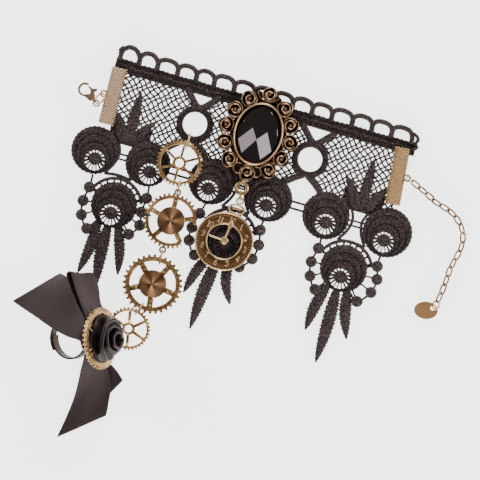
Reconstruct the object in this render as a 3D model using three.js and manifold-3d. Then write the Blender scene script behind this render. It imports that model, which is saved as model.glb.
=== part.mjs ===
// A lace cuff lying open and flat, with clamps, clasp, chain, cameo, clock and gears, in millimetres.
// X runs along the band, Y across it towards the scallops, Z up. The origin is on the underside of
// the lace beneath the middle of the stone.
import * as THREE from 'three';
import { mergeVertices } from 'three/addons/utils/BufferGeometryUtils.js';
import { ConvexGeometry } from 'three/addons/geometries/ConvexGeometry.js';
import Module from 'manifold-3d';

const wasm = await Module();
wasm.setup();

// Clearance between pieces that touch or hang in each other.
const CLEARANCE = 0.3;
const MERGE_WITHIN = 0.0001;
const DEGREE = Math.PI / 180;

// Lace: the repeat is the distance between hanging motifs and carries every place in its tables.
const lace = {
  repeat: 52.8,
  sheet: 1.0,
  leafRelief: 0.6,
  eyeletRelief: 0.7,
  discRelief: 0.8,
  buttonRelief: 1.1,
  beadRadius: 2.3,
  beadHeight: 1.9,
  cordWidth: 1.1,
  loopWall: 0.95,
  netPitch: 7.0,
  netHole: 2.5,
};

// Ribbon clamps: a plate folded round each end of the lace, with teeth along the open edge.
const clamp = {
  length: 25.4,
  depth: 6.4,
  plate: 0.5,
  gap: 1.5,
  toothPitch: 2.6,
  toothLength: 0.7,
  eyeRadius: 1.3,
  eyeWire: 0.38,
};

// Lobster clasp, measured from the middle of its tail eye.
const clasp = {
  reach: 7.8,
  headRadius: 2.65,
  headWall: 0.9,
  thickness: 2.2,
  cheek: 0.5,
  leverThickness: 0.6,
  pinRadius: 0.3,
  leverRoot: 1.0,
  eyeRadius: 1.3,
  eyeWire: 0.38,
  tailRise: 5,
};

// Round jump ring between the left clamp and the clasp.
const claspRing = { radius: 2.7, wire: 0.32, tilt: 48 };

// Extension chain of oval links, rolled half a right angle either way in turn.
const chain = {
  halfLength: 2.48,
  halfWidth: 1.45,
  wire: 0.3,
  roll: 45,
  links: 16,
};
const chainRing = { halfLength: 1.65, halfWidth: 1.9, heading: -17 };
const tag = { halfLength: 5.3, halfWidth: 3.9, thickness: 0.5, turn: 10, hole: 1.1, ringRadius: 2.0 };

// Cameo: an oval facetted stone in a rim ringed with cast flowers.
const stone = { halfWidth: 9.1, halfHeight: 12.2, girdle: 0.9, crown: 2.4 };
const cameo = {
  rimWall: 0.85,
  rimHeight: 2.6,
  back: 0.8,
  web: 2.3,
  flowerRadius: 3.3,
  flowerHeight: 2.6,
  eyeRadius: 1.4,
  eyeWire: 0.4,
};

// Clock charm: an open dial hung from the cameo by a cast ring and a small link.
const clock = {
  radius: 12.95,
  openRadius: 7.4,
  plate: 1.0,
  rimWidth: 0.8,
  rimRise: 0.5,
  figureRise: 0.4,
  figureHeight: 2.2,
  figureWidth: 1.1,
  bowStand: 1.95,
  figureRadius: 9.5,
  turn: -6,
  hubRadius: 1.75,
  bowHalfWidth: 3.4,
  bowHalfHeight: 1.9,
  bowWire: 0.45,
  eyeRadius: 1.4,
  eyeWire: 0.4,
};
const dropRing = { radius: 2.65, wire: 0.6 };
const dropLink = { halfLength: 2.2, halfHeight: 1.35, wire: 0.28 };

// Gears: radii to the tooth tips, roots and the inside of the rim, one row for each gear.
const gearThickness = 1.2;
const gearRows = {
  one: { tip: 10.3, root: 9.4, rim: 8.2, teeth: 30, spokes: 6, first: 30, spoke: 1.1, hub: 3.0, hole: 1.9 },
  two: { tip: 12.3, root: 11.2, rim: 9.7, teeth: 34, spokes: 5, first: 93, spoke: 2.2, hub: 6.2, hole: 0 },
  three: { tip: 13.2, root: 12.1, rim: 10.1, teeth: 32, spokes: 5, first: 62, spoke: 2.6, hub: 6.2,
      hole: 0 },
  four: { tip: 9.7, root: 8.9, rim: 7.9, teeth: 30, spokes: 6, first: 40, spoke: 1.3, hub: 2.8, hole: 1.6 },
  five: { tip: 13.4, root: 12.2, rim: 10.6, teeth: 40, spokes: 5, first: 0, spoke: 2.4, hub: 6.5, hole: 0 },
};
// Gear two has lost a stretch of its rim, and has no teeth beside the break.
const brokenRim = { from: -50, to: 6, plainTo: 34 };
const cone = { radius: 6.0, height: 6.5 };
const joinRing = { wire: 0.28 };

// Finger ring, its pad and the satin bow that it holds against gear five.
const fingerRing = { radius: 9.3, band: 0.8, width: 4.0, overlap: 40, padRadius: 7.0, padThickness: 0.8 };
// Stack is the depth of the folds between gear and pad, as a share of the ribbon's width.
const bow = { tilt: 60, heading: 17, stack: 0.2045 };
const ribbon = { width: 22, wall: 0.6 };
const rose = { radius: 9.2, depth: 8.8 };

// Places on the lace, all as shares of the repeat.
const rows = (columns, lines) => lines.map(
  (line) => Object.fromEntries(columns.map((column, i) => [column, line[i]])));

const discs = rows(['x', 'y', 'r'], [
  [-1.2689, -0.4924, 0.197], [-0.8144, -0.483, 0.1856],
  [-0.2652, -0.4773, 0.1894], [0.2367, -0.483, 0.1894],
  [0.7292, -0.4886, 0.1951], [1.2595, -0.483, 0.2045],
  [-0.9924, -0.8902, 0.1894], [-0.0095, -0.8807, 0.1932], [0.9905, -0.8712, 0.1951],
]);
const motifs = rows(['x'], [[-1.0265], [-0.0095], [0.9924]]);
const bridges = rows(['x', 'half'], [[-0.5379, 0.142], [0.4811, 0.1042]]);
const eyelets = rows(['x', 'y', 'hole', 'r'], [[-0.5303, -0.0568, 0.1004, 0.1553], [0.4735, -0.0758, 0.1004,
    0.1553]]);
const posts = rows(['x'], [
  [-1.2784], [-1.1174], [-0.9602], [-0.786], [-0.625], [-0.4697], [-0.2973], [-0.1231],
  [0.0436], [0.2083], [0.3788], [0.5492], [0.7254], [0.8958], [1.0663], [1.2405],
]);
const loop = { bottom: 0.2936, top: 0.4053, shoulder: 0.3712, foot: 0.3049, corner: 0.0265, fall: 0.0455 };
const band = { left: -1.3068, right: 1.2955, low: 0.1894, high: 0.2973 };
const ground = { low: -0.3504, joinLow: -0.536, motifLow: -0.7008, motifHalf: 0.1174 };
const beads = rows(['x', 'y', 'string'], [
  [-1.2311, -0.803, 0], [-1.25, -0.9242, 0], [-1.2311, -1.0417, 0], [-1.1572, -1.1402, 0],
  [-0.7462, -0.7614, 1], [-0.7576, -0.8845, 1], [-0.7405, -0.9943, 1], [-0.8068, -1.0909, 1],
  [-0.286, -0.7595, 2], [-0.3182, -0.8902, 2], [-0.3106, -1, 2], [-0.2348, -1.1042, 2],
  [0.2367, -0.7557, 3], [0.2576, -0.8788, 3], [0.2367, -1.0038, 3], [0.1515, -1.0985, 3],
  [0.7424, -0.7708, 4], [0.7159, -0.8902, 4], [0.7386, -1.0076, 4], [0.8087, -1.1042, 4],
  [1.2557, -0.7765, 5], [1.2841, -0.8864, 5], [1.2652, -1, 5], [1.1742, -1.1042, 5],
]);
const stringEnds = rows(['fromX', 'fromY', 'toX', 'toY'], [
  [-1.2311, -0.6629, -1.0795, -1.0511],
  [-0.75, -0.6345, -0.8996, -1.0511], [-0.2576, -0.6439, -0.1136, -1.0511],
  [0.2386, -0.6439, 0.0871, -1.0511],
  [0.7443, -0.6629, 0.8902, -1.0417], [1.2557, -0.6629, 1.0909, -1.0417],
]);
const hangingLeaves = rows(['baseX', 'baseY', 'tipX', 'tipY', 'width'], [
  [-1.0795, -1.0511, -1.1288, -1.5152, 0.0985],
  [-0.9943, -1.0606, -0.9545, -1.5909, 0.1098], [-0.9129, -1.0511, -0.803, -1.4394, 0.0947],
  [-0.1042, -1.0511, -0.2367, -1.4299, 0.0947],
  [-0.0284, -1.0606, -0.1023, -1.7045, 0.1136], [0.0663, -1.0511, 0.1496, -1.4205, 0.0947],
  [0.8996, -1.0417, 0.8239, -1.4489, 0.1042],
  [0.9848, -1.0606, 0.9811, -1.6856, 0.1136], [1.0701, -1.0322, 1.1742, -1.4299, 0.0947],
]);
const upperLeaves = rows(['baseX', 'baseY', 'tipX', 'tipY', 'width'], [
  [-0.0076, -0.3314, -0.0076, 0.0739, 0.0985],
  [-0.0455, -0.3504, -0.1951, -0.1174, 0.0871], [0.0455, -0.3504, 0.1818, -0.1326, 0.0871],
]);
// Openings: each row is the outline of one, x and y from the middle of its eyelet or motif.
const eyeletHoles = [
  [[-0.0852, 0.2538], [-0.0057, 0.1818], [0.0739, 0.2538]],
  [[0, -0.178], [-0.1326, -0.2443], [-0.0417, -0.3598], [0.0455, -0.3636], [0.1402, -0.2538]],
  [[-0.0417, -0.3939], [-0.0417, -0.4148], [0.0455, -0.4148], [0.0455, -0.3939]],
];
const motifHoles = [
  [[-0.0455, -0.3977], [-0.0322, -0.4678], [0.0284, -0.4678], [0.0492, -0.3977]],
  [[-0.017, -0.5303], [-0.0909, -0.661], [0.0852, -0.661], [0.0322, -0.5303]],
  [[-0.2273, -0.6932], [-0.1894, -0.7652], [-0.1591, -0.6932]],
  [[0.1591, -0.697], [0.197, -0.7727], [0.2386, -0.697]],
];
const sidePatches = [
  [[-0.2652, -0.625], [-0.2652, -0.7008], [-0.2178, -0.7955], [-0.1515, -0.8144], [-0.1136, -0.625]],
  [[0.1136, -0.625], [0.1515, -0.8144], [0.2178, -0.7955], [0.2746, -0.7008], [0.2652, -0.625]],
];
const smallHoles = rows(['x', 'y', 'r'], [
  [-0.0076, -0.3068, 0.0152],
]);
const nets = rows(['left', 'right', 'low', 'high'], [
  [-1.1553, -0.6818, -0.2652, 0.1705], [-0.3883, -0.2178, -0.2462, 0.1705],
  [0.2273, 0.3314, -0.2462, 0.1705], [0.625, 1.1269, -0.2652, 0.1705],
]);

// The few chosen places of the pieces that hang on the lace.
const places = {
  clampLeft: { x: -66.2, y: -1.1, turn: 1.6 },
  clampRight: { x: 64.1, y: -0.5, turn: 5.5 },
  dropRing: { x: -0.5, y: -24.5, z: 3.1 },
  bow: { x: 0, y: -34.1 },
  clock: { x: -1.5, y: -34.1 - clock.bowStand - clock.radius },
  clockEye: { x: 0.4, y: -30.0 },
  gearOne: { x: -29.7, y: -21.4 },
  gearTwo: { x: -26.3, y: -46.8 },
  gearThree: { x: -26.5, y: -75.7 },
  gearFour: { x: -31.2, y: -97.3 },
  gearFive: { x: -41, y: -104, z: 14.65 },
};

// Jump rings between the gears: where each one's two ends lie.
const joins = {
  hanger: { fromX: -28.65, fromY: -7.4, toX: -28.65, toY: -14.15 },
  oneToTwo: { fromX: -27.4, fromY: -28.5, toX: -26.95, toY: -34.15 },
  twoToThree: { fromX: -26.3, fromY: -59.95, toX: -26.0, toY: -66.45 },
  threeToFour: { fromX: -27.9, fromY: -84.9, toX: -30.2, toY: -90.6 },
  thread: { fromX: -39.5, fromY: -47, toX: -35.4, toY: -47 },
};

// The route of the extension chain, from the right clamp to the end ring, as it lies.
const chainRoute = rows(['x', 'y', 'z'], [
  [69.4, 0.1, 2.1], [72.2, -1.6, 1.75], [76.0, -3.3, 1.4], [79.8, -5.1, 1.36], [83.4, -6.9, 1.36],
  [87.3, -8.0, 1.36], [91.0, -9.3, 1.36], [94.2, -11.4, 1.36], [97.0, -14.3, 1.36], [98.8, -18.0, 1.36],
  [99.4, -22.0, 1.36], [98.9, -26.0, 1.36], [98.0, -30.0, 1.36], [97.3, -34.0, 1.36],
  [97.1, -38.2, 1.36], [96.8, -42.2, 1.36], [96.4, -45.8, 1.4], [95.6, -50.2, 1.75],
]);
const tagPlace = { x: 92.1, y: -53.7, holeX: 94.7, holeY: -51.95 };

// Solids: a closed geometry becomes a body that can be joined and cut.
function solid(geometry) {
  const bare = geometry.clone();
  bare.deleteAttribute('normal');
  bare.deleteAttribute('uv');
  const joined = mergeVertices(bare, MERGE_WITHIN);
  const corners = [];
  const index = joined.index.array;
  for (let i = 0; i < index.length; i += 3) {
    const [a, b, c] = [index[i], index[i + 1], index[i + 2]];
    if (a !== b && b !== c && a !== c) corners.push(a, b, c);
  }
  return new wasm.Manifold(new wasm.Mesh({
    numProp: 3,
    vertProperties: new Float32Array(joined.attributes.position.array),
    triVerts: new Uint32Array(corners),
  }));
}

function shell(body) {
  const mesh = body.getMesh();
  const geometry = new THREE.BufferGeometry();
  geometry.setAttribute('position', new THREE.BufferAttribute(new Float32Array(mesh.vertProperties), 3));
  geometry.setIndex(new THREE.BufferAttribute(new Uint32Array(mesh.triVerts), 1));
  geometry.computeVertexNormals();
  return geometry;
}

const joinAll = (bodies) => bodies.reduce((whole, body) => whole.add(body));

// A flat plate of any outline between two heights.
function plate(points, low, high) {
  const shape = new THREE.Shape(points.map(([x, y]) => new THREE.Vector2(x, y)));
  const geometry = new THREE.ExtrudeGeometry(shape, { depth: high - low, bevelEnabled: false,
      curveSegments: 1 });
  return solid(geometry.translate(0, 0, low));
}

function circle(x, y, radius, sides, radiusY = radius, start = 0) {
  return Array.from({ length: sides }, (_, i) => {
    const angle = start + (i / sides) * 2 * Math.PI;
    return [x + radius * Math.cos(angle), y + radiusY * Math.sin(angle)];
  });
}

const disc = (x, y, radius, sides, low, high, radiusY) => plate(circle(x, y, radius, sides, radiusY), low,
    high);

// A straight bar between two points, seen from above.
function bar(ax, ay, bx, by, width, low, high) {
  const length = Math.hypot(bx - ax, by - ay);
  const [nx, ny] = [(-(by - ay) / length) * width / 2, ((bx - ax) / length) * width / 2];
  return plate([[ax + nx, ay + ny], [ax - nx, ay - ny], [bx - nx, by - ny], [bx + nx, by + ny]], low, high);
}

// A turned form about the upright line through x, y; the profile runs upwards on its outer side.
function turned(profile, sides, x, y, stretch = 1) {
  const points = profile.map(([r, z]) => new THREE.Vector2(r, z));
  const geometry = new THREE.LatheGeometry(points, sides).rotateX(Math.PI / 2);
  return solid(geometry.scale(1, stretch, 1).translate(x, y, 0));
}

// A closed loop of round wire through the given points.
function wireLoop(points, wire, around, sides) {
  const curve = new THREE.CatmullRomCurve3(points.map(([x, y, z]) => new THREE.Vector3(x, y, z)), true);
  return new THREE.TubeGeometry(curve, around, wire, sides, true);
}

const flatRing = (x, y, z, radius, wire, around = 14, sides = 6) => solid(
  new THREE.TorusGeometry(radius, wire, sides, around).translate(x, y, z));

// An oval of points in the plane of x and z, longer along x.
function oval(halfLength, halfWidth, count = 12, fullness = 0.8) {
  return Array.from({ length: count }, (_, i) => {
    const angle = (i / count) * 2 * Math.PI;
    const [c, s] = [Math.cos(angle), Math.sin(angle)];
    return [halfLength * Math.sign(c) * Math.abs(c) ** fullness, 0,
        halfWidth * Math.sign(s) * Math.abs(s) ** fullness];
  });
}

// A leaf between its base and its tip, seen from above.
function leafOutline(leaf, scale) {
  const [bx, by, tx, ty] = [leaf.baseX, leaf.baseY, leaf.tipX, leaf.tipY].map((share) => share * scale);
  const half = (leaf.width * scale) / 2;
  const length = Math.hypot(tx - bx, ty - by);
  const [ux, uy] = [(tx - bx) / length, (ty - by) / length];
  const stations = [[0, 0.4], [0.4, 1], [0.78, 0.85], [1, 0.12]];
  const side = (sign) => stations.map(([along, wide]) => [
    bx + ux * along * length - uy * wide * half * sign,
    by + uy * along * length + ux * wide * half * sign,
  ]);
  return [...side(-1), ...side(1).reverse()];
}

// Materials, one for each finish.
const look = (colour, roughness, metalness) => new THREE.MeshStandardMaterial({ color: colour, roughness,
    metalness });
const looks = {
  lace: look(0x2d2626, 0.95, 0),
  satin: look(0x4b4142, 0.45, 0),
  antiqueBrass: look(0xa0783c, 0.4, 0.9),
  castBrass: look(0x8c5a34, 0.45, 0.9),
  paleBrass: look(0xcdaa82, 0.3, 0.9),
  goldenBrass: look(0xb48750, 0.32, 0.9),
  darkBrass: look(0x6b4a2c, 0.5, 0.85),
  jet: look(0x0a0a0c, 0.08, 0.1),
  thread: look(0x1a1717, 0.9, 0),
};

const cuff = new THREE.Group();
function place(name, body, material, parent = cuff) {
  const mesh = new THREE.Mesh(body.isBufferGeometry ? body : shell(body), material);
  mesh.name = name;
  parent.add(mesh);
  return mesh;
}

const R = lace.repeat;
const sheetTop = lace.sheet;
const clampTop = Math.max(places.clampLeft.y, places.clampRight.y) + clamp.length / 2;
const bandFoot = clampTop + 2 * CLEARANCE;
const clampSlack = (turn) => (Math.tan(turn * DEGREE) * clamp.length) / 2;
const groundLeft = places.clampLeft.x + clamp.depth / 2 + clamp.toothLength + CLEARANCE
  + clampSlack(places.clampLeft.turn);
const groundRight = places.clampRight.x - clamp.depth / 2 - clamp.toothLength - CLEARANCE;

// Lace: the braid and its scallops.
function scallopBand() {
  const top = band.high * R;
  const bodies = [plate([
    [band.left * R, bandFoot], [band.right * R, bandFoot], [band.right * R, top], [band.left * R, top],
  ], 0, sheetTop)];
  const holes = [];
  for (let i = 0; i + 1 < posts.length; i += 1) {
    const [a, b] = [posts[i].x * R, posts[i + 1].x * R];
    const wall = lace.loopWall;
    const [low, high, shoulder] = [loop.bottom * R, loop.top * R, loop.shoulder * R];
    const [corner, fall] = [loop.corner * R, loop.fall * R];
    const left = i === 0 ? a - wall : a;
    const right = i + 2 === posts.length ? b + wall : b;
    bodies.push(plate([
      [left, low], [right, low], [right, shoulder - corner],
      [b - fall, high], [a + corner, high], [left, shoulder],
    ], 0, sheetTop));
    holes.push(plate([
      [a + wall, loop.foot * R], [b - wall, loop.foot * R], [b - wall, shoulder - 2 * corner],
      [b - fall, high - 1.7 * wall - corner / 2], [a + wall, high - 1.7 * wall],
    ], -1, sheetTop + 1));
  }
  return joinAll(bodies).subtract(joinAll(holes));
}

// Lace: the ground between the braid and the upper discs, with a raised tongue into each clamp.
function groundBody() {
  const [lean, low, top] = [Math.tan(places.clampRight.turn * DEGREE), ground.low * R, band.high * R];
  const bodies = [plate([
    [groundLeft, low], [groundRight - lean * low, low],
    [groundRight - lean * top, top], [groundLeft, top],
  ], 0, sheetTop)];
  for (const bridge of bridges) {
    const [x, half] = [bridge.x * R, bridge.half * R];
    bodies.push(plate([[x - half, ground.joinLow * R], [x + half, ground.joinLow * R],
      [x + half, low + 1], [x - half, low + 1]], 0, sheetTop));
  }
  for (const motif of motifs) {
    const [x, half] = [motif.x * R, ground.motifHalf * R];
    bodies.push(plate([[x - half, ground.motifLow * R], [x + half, ground.motifLow * R],
      [x + half, low + 1], [x - half, low + 1]], 0, sheetTop));
  }
  for (const eye of eyelets) {
    bodies.push(disc(eye.x * R, eye.y * R, eye.r * R, 14, 0, sheetTop + lace.eyeletRelief));
  }
  return joinAll(bodies);
}

function clampTongues() {
  const inner = clamp.plate + CLEARANCE;
  const reach = clamp.length / 2 - 4 * CLEARANCE;
  const tongue = (spot, side) => {
    const middle = new THREE.Matrix4().makeRotationZ(spot.turn * DEGREE);
    const near = side * (clamp.depth / 2 - clamp.plate - CLEARANCE);
    const far = -side * (clamp.depth / 2 + clamp.toothLength + 6 * CLEARANCE);
    const points = [[near, -reach], [far, -reach], [far, reach], [near, reach]];
    const ordered = side > 0 ? points.reverse() : points;
    return plate(ordered.map(([x, y]) => {
      const corner = new THREE.Vector3(x, y, 0).applyMatrix4(middle);
      return [corner.x + spot.x, corner.y + spot.y];
    }), inner, inner + clamp.gap - 2 * CLEARANCE);
  };
  return tongue(places.clampLeft, -1).add(tongue(places.clampRight, 1));
}

// Lace: holes of the net, on a staggered grid, clear of leaves and eyelets.
function netHoles() {
  const holes = [];
  const half = lace.netPitch / 2;
  const blocked = (x, y) => {
    const nearEyelet = eyelets.some((eye) => Math.hypot(x - eye.x * R,
        y - eye.y * R) < eye.r * R + lace.netHole);
    const nearLeaf = motifs.some((motif) => upperLeaves.some((leaf) => {
      const [bx, by, tx, ty] = [leaf.baseX + motif.x, leaf.baseY, leaf.tipX + motif.x,
          leaf.tipY].map((v) => v * R);
      const span = (tx - bx) ** 2 + (ty - by) ** 2;
      const along = Math.min(1, Math.max(0, ((x - bx) * (tx - bx) + (y - by) * (ty - by)) / span));
      const away = Math.hypot(x - bx - along * (tx - bx), y - by - along * (ty - by));
      return away < (leaf.width * R) / 2 + lace.netHole;
    }));
    const nearBand = eyelets.some((eye) => y > eye.y * R && Math.abs(x - eye.x * R)
      < (y - eye.y * R) * 0.45 + lace.netHole * 2);
    return nearEyelet || nearLeaf || nearBand;
  };
  for (const net of nets) {
    for (let row = 0; net.low * R + row * half < net.high * R; row += 1) {
      const y = net.low * R + (row + 0.5) * half;
      for (let x = net.left * R + (row % 2) * half; x < net.right * R; x += lace.netPitch) {
        if (!blocked(x, y)) holes.push(plate(circle(x, y, lace.netHole, 4), -1, sheetTop + 1));
      }
    }
  }
  return holes;
}

const spread = (outline, x, y) => outline.map(([px, py]) => [px * R + x, py * R + y]);

// Lace: the larger openings round the eyelets, between the discs and beside the strings.
function openHoles() {
  const cut = (points) => plate(points, -1, sheetTop + 1);
  const holes = [];
  for (const eye of eyelets) {
    const [x, y] = [eye.x * R, eye.y * R];
    holes.push(disc(x, y, eye.hole * R, 12, -1, sheetTop + 1));
    for (const hole of eyeletHoles) holes.push(cut(spread(hole, x, y)));
  }
  for (const motif of motifs) {
    for (const hole of motifHoles) holes.push(cut(spread(hole, motif.x * R, 0)));
    for (const hole of smallHoles) {
      holes.push(disc((hole.x + motif.x) * R, hole.y * R, hole.r * R, 5, -1, sheetTop + 1));
    }
  }
  return holes;
}

// Lace: a round rose, highest at its button and at the ridge near its edge.
function roseDisc(row) {
  const [x, y, r] = [row.x * R, row.y * R, row.r * R];
  return turned([
    [0, 0], [r, 0], [r, sheetTop], [0.8 * r, sheetTop + lace.discRelief], [0.35 * r, sheetTop + 0.2],
    [0, sheetTop + lace.buttonRelief],
  ], 10, x, y);
}

function beadString(index) {
  const end = stringEnds[index];
  const own = beads.filter((bead) => bead.string === index);
  const stops = [[end.fromX, end.fromY], ...own.map((bead) => [bead.x, bead.y]), [end.toX, end.toY]];
  const bodies = own.map((bead) => disc(bead.x * R, bead.y * R, lace.beadRadius, 6, 0, lace.beadHeight));
  const side = (sign) => stops.map(([x, y], i) => {
    const [fromX, fromY] = stops[Math.max(0, i - 1)];
    const [toX, toY] = stops[Math.min(stops.length - 1, i + 1)];
    const length = Math.hypot(toX - fromX, toY - fromY);
    const half = (sign * lace.cordWidth) / 2;
    return [x * R - ((toY - fromY) / length) * half, y * R + ((toX - fromX) / length) * half];
  });
  bodies.push(plate([...side(1), ...side(-1).reverse()], 0, sheetTop));
  return joinAll(bodies);
}

function laceBody() {
  const topLeaves = motifs.flatMap((motif) => upperLeaves.map((leaf) => ({
    ...leaf, baseX: leaf.baseX + motif.x, tipX: leaf.tipX + motif.x,
  }))).filter((leaf) => Math.abs(leaf.tipX * R) > stone.halfWidth + 2 * cameo.flowerRadius + 2);
  const patches = motifs.flatMap((motif) => sidePatches.map(
    (patch) => plate(spread(patch, motif.x * R, 0), 0, sheetTop)));
  const flat = joinAll([scallopBand(), groundBody(), ...patches]).subtract(joinAll([...openHoles(),
      ...netHoles()]));
  const groove = hangerGroove();
  return joinAll([
    flat,
    clampTongues(),
    ...topLeaves.map((leaf) => plate(leafOutline(leaf, R), sheetTop / 2, sheetTop + lace.leafRelief)),
    ...discs.map(roseDisc),
    ...[0, 1, 2, 3, 4, 5].map(beadString),
    ...hangingLeaves.map((leaf) => plate(leafOutline(leaf, R), 0, sheetTop + lace.leafRelief)),
  ]).subtract(groove);
}

// The hanger passes under the eyelet in a shallow groove of the stitching.
function hangerGroove() {
  const half = joinRing.wire + CLEARANCE;
  const x = joins.hanger.fromX;
  const [low, high] = [eyelets[0].y * R - eyelets[0].r * R - 2.6,
      eyelets[0].y * R - eyelets[0].hole * R + 1];
  const outline = [[x - half, low], [x + half, low], [x + half, high], [x - half, high]];
  return plate(outline, -1, 2 * joinRing.wire + 1.3 * CLEARANCE);
}

// Ribbon clamp: two plates joined along a folded edge, with teeth and an eye; the fold faces -X.
function clampBody(side) {
  const [half, depth, deep] = [clamp.length / 2, clamp.depth / 2, 2 * clamp.plate + clamp.gap];
  const teeth = Math.floor(clamp.length / clamp.toothPitch);
  const edge = [];
  for (let i = 0; i < teeth; i += 1) {
    const y = -half + ((i + 0.5) * clamp.length) / teeth;
    edge.push([depth, y - clamp.toothPitch / 2 + 0.1], [depth + clamp.toothLength, y]);
  }
  const outline = [[-depth, half], [-depth, -half + (side > 0 ? 0 : 2.6)], [-depth + (side > 0 ? 0.1 : 2.2),
      -half],
    ...edge, [depth, half]];
  const cutter = plate([[-depth + clamp.plate, -half - 1], [depth + 2, -half - 1], [depth + 2, half + 1],
    [-depth + clamp.plate, half + 1]], clamp.plate, clamp.plate + clamp.gap);
  const eye = flatRing(-depth - 0.55 * clamp.eyeRadius, 0, deep - clamp.eyeWire, clamp.eyeRadius,
      clamp.eyeWire);
  const inside = plate([[-depth + clamp.plate / 2, -3], [depth, -3], [depth, 3], [-depth + clamp.plate / 2,
      3]],
    clamp.plate, deep + 1);
  const body = plate(outline, 0, deep).subtract(cutter).add(eye.subtract(inside));
  return shell(body);
}

function placeClamps() {
  const left = place('clamp_left', clampBody(-1), looks.paleBrass);
  left.position.set(places.clampLeft.x, places.clampLeft.y, 0);
  left.rotation.z = places.clampLeft.turn * DEGREE;
  const right = place('clamp_right', clampBody(1), looks.goldenBrass);
  right.position.set(places.clampRight.x, places.clampRight.y, 0);
  right.rotation.z = Math.PI + places.clampRight.turn * DEGREE;
}

// Place of a clamp's eye, in the frame of the cuff.
function clampEye(spot, side) {
  const out = clamp.depth / 2 + 0.55 * clamp.eyeRadius;
  const turn = spot.turn * DEGREE;
  return [spot.x + side * out * Math.cos(turn), spot.y + side * out * Math.sin(turn),
    2 * clamp.plate + clamp.gap - clamp.eyeWire];
}

const leverPin = { x: 3.9, y: 1.0 };

// Clasp: its frame starts at the tail eye, with +X towards the head and +Y on the lever's side.
function claspBody() {
  const { reach, headRadius, headWall, thickness, cheek, pinRadius } = clasp;
  const outer = headRadius + headWall / 2;
  const inner = headRadius - headWall / 2;
  const low = -thickness / 2;
  const high = thickness / 2;
  const head = disc(reach, 0, outer, 20, low, high).subtract(disc(reach, 0, inner, 18, low - 1, high + 1));
  const mouth = plate([[reach - outer - 1, -0.4], [reach, -0.4], [reach + 1.1, outer + 1],
      [reach - outer - 1, outer + 1]],
    low - 1, high + 1);
  const neck = plate([[1.2, -0.5], [2.6, -0.8], [2.6, 0.8], [1.2, 0.5]], -clasp.eyeWire, clasp.eyeWire);
  const shank = plate([[2.1, -0.9], [2.8, -1.75], [reach - headRadius + 0.4, -2.0],
      [reach - headRadius + 0.2, -0.6],
    [leverPin.x + 1.2, 0.2], [leverPin.x + 1.0, leverPin.y + 0.6], [leverPin.x - 0.4, leverPin.y + 1.1],
        [2.1, 0.9]],
    low, high);
  const slot = plate(circle(leverPin.x, leverPin.y, clasp.leverRoot + CLEARANCE + 0.3, 12),
    -clasp.leverThickness / 2 - CLEARANCE, clasp.leverThickness / 2 + CLEARANCE);
  const pin = disc(leverPin.x, leverPin.y, pinRadius, 8, low + 0.1, high - 0.1);
  const eye = flatRing(0, 0, 0, clasp.eyeRadius, clasp.eyeWire);
  return head.subtract(mouth).add(shank).add(neck).subtract(disc(reach, 0, inner, 18, low - 1, high + 1))
    .subtract(slot).add(pin).add(eye);
}

// Lever: a root round the pin, a thumb tab and an arm that closes the mouth of the head.
function claspLever() {
  const half = clasp.leverThickness / 2;
  const { x, y } = leverPin;
  const arm = plate([[x - 0.2, y + 0.2], [x + 0.9, y - 0.4], [clasp.reach - 1.0, 1.95], [clasp.reach + 0.2,
      1.6],
    [clasp.reach + 0.25, 2.3], [clasp.reach - 0.9, 2.75], [x + 1.9, y + 1.9], [x + 1.1, y + 3.2], [x + 0.1,
        y + 3.1],
    [x + 0.3, y + 1.6]], -half, half);
  return disc(x, y, clasp.leverRoot, 12, -half, half).add(arm)
    .subtract(disc(x, y, clasp.pinRadius + CLEARANCE * 0.7, 8, -1, 1));
}

const claspHead = { x: -79.0, y: -1.4 };
function placeClasp() {
  const from = new THREE.Vector3(...clampEye(places.clampLeft, -1));
  const span = 2 * claspRing.radius;
  const down = new THREE.Vector3(-0.36, -0.93, 0.1).normalize();
  const tail = from.clone().addScaledVector(down, span);
  const ring = new THREE.Group();
  const up = new THREE.Vector3().crossVectors(down, new THREE.Vector3(0, 0, 1)).normalize().negate();
  const level = new THREE.Vector3().crossVectors(up, down).normalize();
  const tilt = claspRing.tilt * DEGREE;
  const across = up.clone().multiplyScalar(Math.cos(tilt)).addScaledVector(level, -Math.sin(tilt));
  const normal = new THREE.Vector3().crossVectors(down, across).normalize();
  ring.setRotationFromMatrix(new THREE.Matrix4().makeBasis(down, across, normal));
  ring.position.copy(from).addScaledVector(down, claspRing.radius);
  cuff.add(ring);
  place('clasp_ring', flatRing(0, 0, 0, claspRing.radius, claspRing.wire, 14, 5), looks.goldenBrass, ring);
  const body = new THREE.Group();
  body.position.copy(tail);
  body.rotation.order = 'ZYX';
  body.rotation.z = Math.atan2(claspHead.y - tail.y, claspHead.x - tail.x);
  body.rotation.y = clasp.tailRise * DEGREE;
  body.rotation.x = Math.PI;
  cuff.add(body);
  place('clasp_body', claspBody(), looks.goldenBrass, body);
  place('clasp_lever', claspLever(), looks.goldenBrass, body);
}

// Chain: each link sits at an equal step along the route and is rolled about it.
function linkFrame(curve, share, roll) {
  const centre = curve.getPointAt(share);
  const along = curve.getTangentAt(share).normalize();
  const side = new THREE.Vector3().crossVectors(new THREE.Vector3(0, 0, 1), along).normalize();
  const up = new THREE.Vector3().crossVectors(along, side).normalize();
  const across = side.multiplyScalar(Math.cos(roll * DEGREE)).addScaledVector(up, Math.sin(roll * DEGREE));
  const normal = new THREE.Vector3().crossVectors(across, along).normalize();
  const frame = new THREE.Group();
  frame.setRotationFromMatrix(new THREE.Matrix4().makeBasis(along, normal, across));
  frame.position.copy(centre);
  cuff.add(frame);
  return frame;
}

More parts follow.
